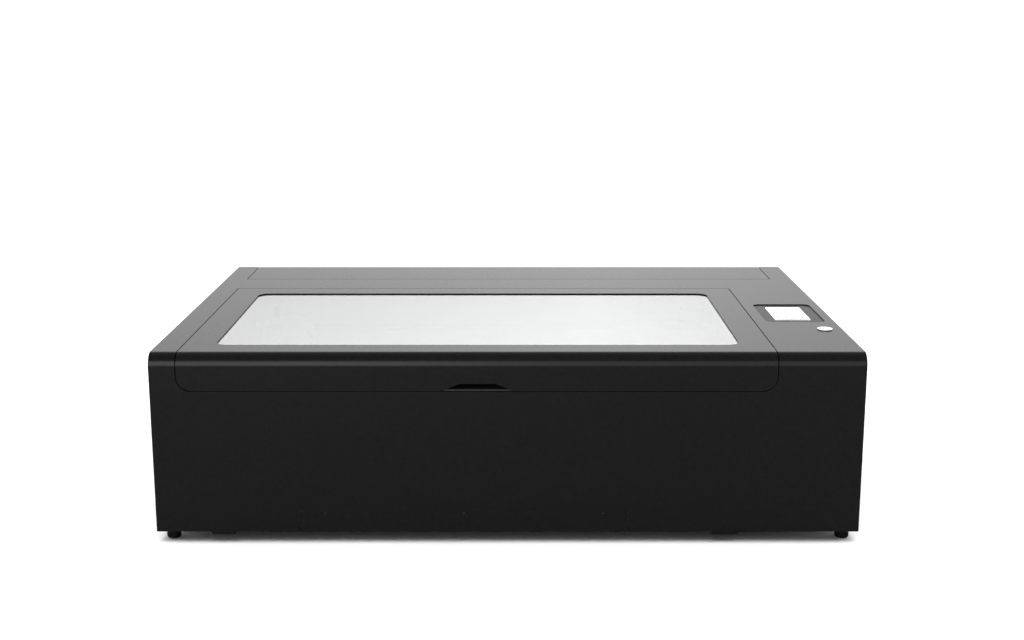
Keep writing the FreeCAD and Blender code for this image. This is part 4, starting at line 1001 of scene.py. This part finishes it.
# %% Laser tube
def glass_tube():
    low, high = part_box("laser_tube")
    length = high.x - low.x
    centre = (low.x, (low.y + high.y) / 2, (low.z + high.z) / 2)
    end = 24 * MM
    wall = 2.2 * MM
    envelope = [(14 * MM, 12 * MM), (25 * MM, end), (25 * MM, length - end),
                (14 * MM, length - 12 * MM), (12 * MM, length - 12 * MM),
                (25 * MM - wall, length - end - MM), (25 * MM - wall, end + MM),
                (12 * MM, 12 * MM), (14 * MM, 12 * MM)]
    outer = lathe("tube_envelope", envelope, centre, "X", 48)
    dress(outer, "cabinet", GLASS, ("laser_tube",), edge=0)
    inner = []
    for radius, inset in ((15 * MM, 60 * MM), (5 * MM, 30 * MM)):
        ring = [(radius, inset), (radius, length - inset), (radius - 1.2 * MM, length - inset),
                (radius - 1.2 * MM, inset), (radius, inset)]
        inner.append(lathe("tube_inner", ring, centre, "X", 32))
    join(*inner)
    dress(inner[0], "cabinet", GLASS, edge=0)
    caps = []
    for place, way in ((0, 1), (length, -1)):
        profile = [(0, 0), (11, 0), (12.4, 1.4), (12.4, 9), (14, 9), (14, 14), (5, 16), (3, 40),
                   (0, 40)]
        outline = [(radius * MM, place + way * depth * MM) for radius, depth in profile]
        caps.append(lathe("tube_cap", outline, centre, "X", 40))
    join(*caps)
    dress(caps[0], "cabinet", STEEL, edge=0)
    nipples = []
    for place in (low.x + 34 * MM, high.x - 34 * MM):
        profile = [(0, 20), (4, 20), (4, 30), (3.2, 31), (4, 34), (3.2, 37), (2, 37), (2, 24),
                   (0, 24)]
        nipples.append(lathe("water_nipple", mm(profile),
                             (place, centre[1], centre[2]), "Z", 28))
    join(*nipples)
    dress(nipples[0], "cabinet", GLASS, edge=0)


glass_tube()

# %% [markdown]
# ## Stepper motors
# A stepper is a stack: a black end bell, a ground stack of steel laminations and a second bell,
# all with clipped corners. The stack is drawn slightly smaller than the bells.

# %% Motors
def stepper(node, name, body, low, high, axis, extra):
    """Bells at both ends of a lamination stack that lies along an axis."""
    low, high = Vector(low), Vector(high)
    along = "XYZ".index(axis)
    sides = [i for i in range(3) if i != along]
    length = high[along] - low[along]
    lengthways = lambda middle, way: abs(way[along]) > 0.99
    bells = []
    for start_at, end_at in ((0, 0.24), (0.76, 1)):
        a, b = low.copy(), high.copy()
        a[along] = low[along] + length * start_at
        b[along] = low[along] + length * end_at
        bell = block("bell", a, b)
        round_edges(bell, 4 * MM, lengthways, segments=1)
        bells.append(bell)
    a, b = low.copy(), high.copy()
    for i in sides:
        a[i] += 0.6 * MM
        b[i] -= 0.6 * MM
    a[along] += length * 0.24
    b[along] -= length * 0.24
    stack = block(name + "_stack", a, b)
    round_edges(stack, 4.4 * MM, lengthways, segments=1)
    join(bells[0], *bells[1:], *extra)
    bells[0].name = name
    dress(bells[0], body, ENAMEL, (node,), edge=0.5)
    dress(stack, body, STEEL, edge=0.2)


def motors():
    low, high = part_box("x_motor")
    x, y = (low.x + high.x) / 2, (low.y + high.y) / 2
    case_z = high.z - 34 * MM
    leg = block("leg", (low.x, y + 12 * MM, low.z), (high.x, y + 18 * MM, case_z))
    shaft = bar("shaft", (x, y, (low.z + case_z) / 2 + 0.1 * MM), 2.5 * MM, case_z - low.z)
    stepper("x_motor", "head_motor", "gantry", (low.x, low.y, case_z), high, "Z", (leg, shaft))
    low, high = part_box("y_motor")
    plug = block("plug", (high.x - 14 * MM, low.y + 6 * MM, low.z - 5 * MM),
                 (high.x - 2 * MM, high.y - 6 * MM, low.z + MM))
    stepper("y_motor", "gantry_motor", "cabinet", low, high, "X", (plug,))


motors()

# %% [markdown]
# ## Electronics bay
# The power supply is a sheet-metal box with slots along its top, a fan let into one end and a
# strip of terminals along the other.

# %% Power supply
def supply():
    low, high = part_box("power_supply")
    case = block("supply_case", low, high)
    carve(case, bar("fan_seat", ((low.x + high.x) / 2, low.y, (low.z + high.z) / 2),
                    25 * MM, 12 * MM, "Y"))
    slot = block("slot", (low.x + 16 * MM, low.y + 40 * MM, high.z - MM),
                 (high.x - 16 * MM, low.y + 43 * MM, high.z + MM))
    carve(case, repeat(slot, [(0, 9 * MM * i, 0) for i in range(14)]))
    dress(case, "cabinet", BED_ALLOY, ("power_supply",), edge=0.5)
    middle = Vector(((low.x + high.x) / 2, low.y + 3 * MM, (low.z + high.z) / 2))
    hub = lathe("supply_fan", mm([(0, -1), (9, -1), (10, 0), (10, 3), (0, 3)]), middle, "Y", 32)
    blades = []
    for i in range(7):
        blade = start("blade", "cube", size=1)
        blade.scale = (14 * MM, 0.8 * MM, 9 * MM)
        blade.rotation_euler = (0.6, 0, 0)
        settle(blade)
        blade.location = (16 * MM, 0, 0)
        settle(blade)
        blade.rotation_euler = (0, 2 * math.pi * i / 7, 0)
        blade.location = middle
        blades.append(settle(blade))
    join(hub, *blades)
    dress(hub, "cabinet", ABS, edge=0)
    strip = block("terminals", (low.x + 12 * MM, high.y, low.z + 4 * MM),
                  (high.x - 12 * MM, high.y + 14 * MM, low.z + 20 * MM))
    bay = block("bay", (low.x + 15 * MM, high.y + 3 * MM, low.z + 8 * MM),
                (low.x + 22 * MM, high.y + 16 * MM, low.z + 24 * MM))
    carve(strip, repeat(bay, [(9.5 * MM * i, 0, 0) for i in range(8)]))
    dress(strip, "cabinet", ABS, edge=0.3)


supply()


# %% [markdown]
# The control board stands on four pillars beside the supply, and carries a finned heat sink, its
# chips and sockets, and a row of round capacitors.

# %% Control board
def board():
    low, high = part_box("control_board")
    sheet_z = low.z + 8 * MM
    card = block("control_card", (low.x, low.y, sheet_z), (high.x, high.y, sheet_z + 1.6 * MM))
    round_edges(card, 3 * MM, upright, segments=4)
    dress(card, "cabinet", MASK, ("control_board",), edge=0.1)
    top_z = sheet_z + 1.6 * MM
    pillars = [bar("pillar", (x * MM, front + y * MM, low.z + 4 * MM), 3 * MM, 8 * MM, sides=6)
               for x in (426, 529) for y in (66, 214)]
    sink = block("heat_sink", (480 * MM, front + 90 * MM, top_z),
                 (516 * MM, front + 140 * MM, top_z + 16 * MM))
    groove = block("groove", (483 * MM, front + 88 * MM, top_z + 4 * MM),
                   (485 * MM, front + 142 * MM, top_z + 18 * MM))
    carve(sink, repeat(groove, [(4.4 * MM * i, 0, 0) for i in range(8)]))
    join(sink, *pillars)
    dress(sink, "cabinet", ANODISED, edge=0.2)
    chips = [block("chip", (x * MM, front + y * MM, top_z),
                   ((x + wide) * MM, front + (y + deep) * MM, top_z + tall * MM))
             for x, y, wide, deep, tall in (
                 (440, 90, 22, 22, 3), (440, 150, 70, 14, 12), (436, 186, 60, 18, 10),
                 (446, 206, 14, 10, 9), (466, 206, 14, 10, 9), (486, 206, 14, 10, 9))]
    join(*chips)
    dress(chips[0], "cabinet", ABS, edge=0.4)
    profile = [(0, 0), (4, 0), (4, 12), (3.4, 12.6), (0, 12.6)]
    cans = [lathe("can", mm(profile), (x * MM, front + 76 * MM, top_z), steps=28)
            for x in (446, 458, 470)]
    join(*cans)
    dress(cans[0], "cabinet", STEEL, edge=0)


board()

# %% [markdown]
# ## Light and floor
# The machine stands on a white sweep in a white room. Black paint mirrors the room at shallow
# angles, so the room is brightest low down behind the machine, a little darker towards the left
# and right, and quieter in front, where the front panel would mirror it face on. Each row below
# pairs a place, from the horizon to overhead or from left to right, with a brightness.

# %% Room
BEHIND = ((0.0, 1.4), (1.0, 1.2), (0.12, 1.42), (0.18, 1.75), (0.23, 2.5), (0.32, 2.75), (0.45, 2.0),
          (0.7, 1.1))
AHEAD = ((0.0, 0.6), (1.0, 1.15), (0.2, 0.5), (0.5, 0.9), (0.8, 1.2))
ACROSS = ((0.0, 0.72), (1.0, 0.78), (0.3, 0.83), (0.56, 1.05), (0.72, 0.86))


def room_light():
    world = bpy.data.worlds.new("studio")
    bpy.context.scene.world = world
    world.use_nodes = True
    tree = world.node_tree
    tree.nodes.clear()
    way = add(tree, "TexCoord")
    split = add(tree, "SeparateXYZ", {"Vector": way.outputs["Generated"]})

    def level(source, low, high, *steps):
        """A brightness that follows one direction; steps are (place, level)."""
        spread = add(tree, "MapRange", {"Value": source, "From Min": low, "From Max": high})
        ramp = add(tree, "ValToRGB", {"Fac": spread.outputs[0]})
        stops = ramp.color_ramp.elements
        for i, (place, value) in enumerate(steps):
            stop = stops[i] if i < 2 else stops.new(place)
            stop.position = place
            stop.color = (value / 2, value / 2, value / 2, 1)
        return ramp.outputs[0]

    behind = level(split.outputs["Z"], 0, 1, *BEHIND)
    ahead = level(split.outputs["Z"], 0, 1, *AHEAD)
    across = level(split.outputs["X"], -0.5, 0.5, *ACROSS)
    turn = add(tree, "MapRange", {"Value": split.outputs["Y"], "From Min": -0.25, "From Max": 0.25})
    room = add(tree, "MixRGB", {0: turn.outputs[0], 1: ahead, 2: behind})
    room = add(tree, "MixRGB", {0: 1.0, 1: room.outputs[0], 2: across}, blend_type="MULTIPLY")
    seen = add(tree, "LightPath")
    soft = add(tree, "Background", {"Color": room.outputs[0], "Strength": 4.0})
    plain = add(tree, "Background", {"Color": (1, 1, 1, 1), "Strength": 1.05})
    mixed = add(tree, "MixShader", {0: seen.outputs["Is Camera Ray"], 1: soft.outputs[0],
                                    2: plain.outputs[0]})
    add(tree, "OutputWorld", {"Surface": mixed.outputs[0]})


room_light()
print("room lit, brightest level", max(level for place, level in BEHIND))

# %% [markdown]
# Two softboxes in front, side by side above the camera and brighter on the left, draw the soft
# line along the bent edge, and show only in reflections. A large key light from high in front
# whitens the floor right up to the feet, and is kept out of reflections so that the paint stays
# dark.

# %% Lamps and floor
def lamp(name, kind, place, aim, power, **settings):
    light = bpy.data.lights.new(name, kind)
    light.energy = power
    for field, value in settings.items():
        setattr(light, field, value)
    holder = bpy.data.objects.new(name, light)
    holder.location = place
    holder.rotation_euler = (Vector(aim) - Vector(place)).to_track_quat("-Z", "Y").to_euler()
    bpy.context.scene.collection.objects.link(holder)
    return holder


def studio_floor():
    floor = start("floor", "plane", size=300)
    sweep = material("white_sweep", "#f7f7f7", Roughness=0.9, Specular_IOR_Level=0.0)
    floor.data.materials.append(grain(sweep, 30, 0.0, tones=("#f5f5f5", "#fbfbfb")))
    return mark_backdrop(floor)


bpy.context.scene.view_settings.view_transform = "Standard"
for name, x, width, power in (("left_softbox", -1.6, 2.8, 300), ("right_softbox", 1.3, 3.0, 140)):
    softbox = lamp(name, "AREA", (x, front - 4, 1.6), (x, front, 1.6), power, shape="RECTANGLE",
                   size=width, size_y=3.1)
    softbox.visible_diffuse = False
key = lamp("key", "SUN", (0, -2.1, 3), (0, 0, 0), 2.45, angle=0.6)
key.visible_glossy = False
studio_floor()

# %% [markdown]
# ## Size
# The remodelled machine has to fill the same box as the frame it was built on.

# %% Sizes
bounds_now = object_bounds()
print("frame box", cad_box, "model box", bounds_now)
[list(corner) for corner in cad_box]
[list(corner) for corner in bounds_now]
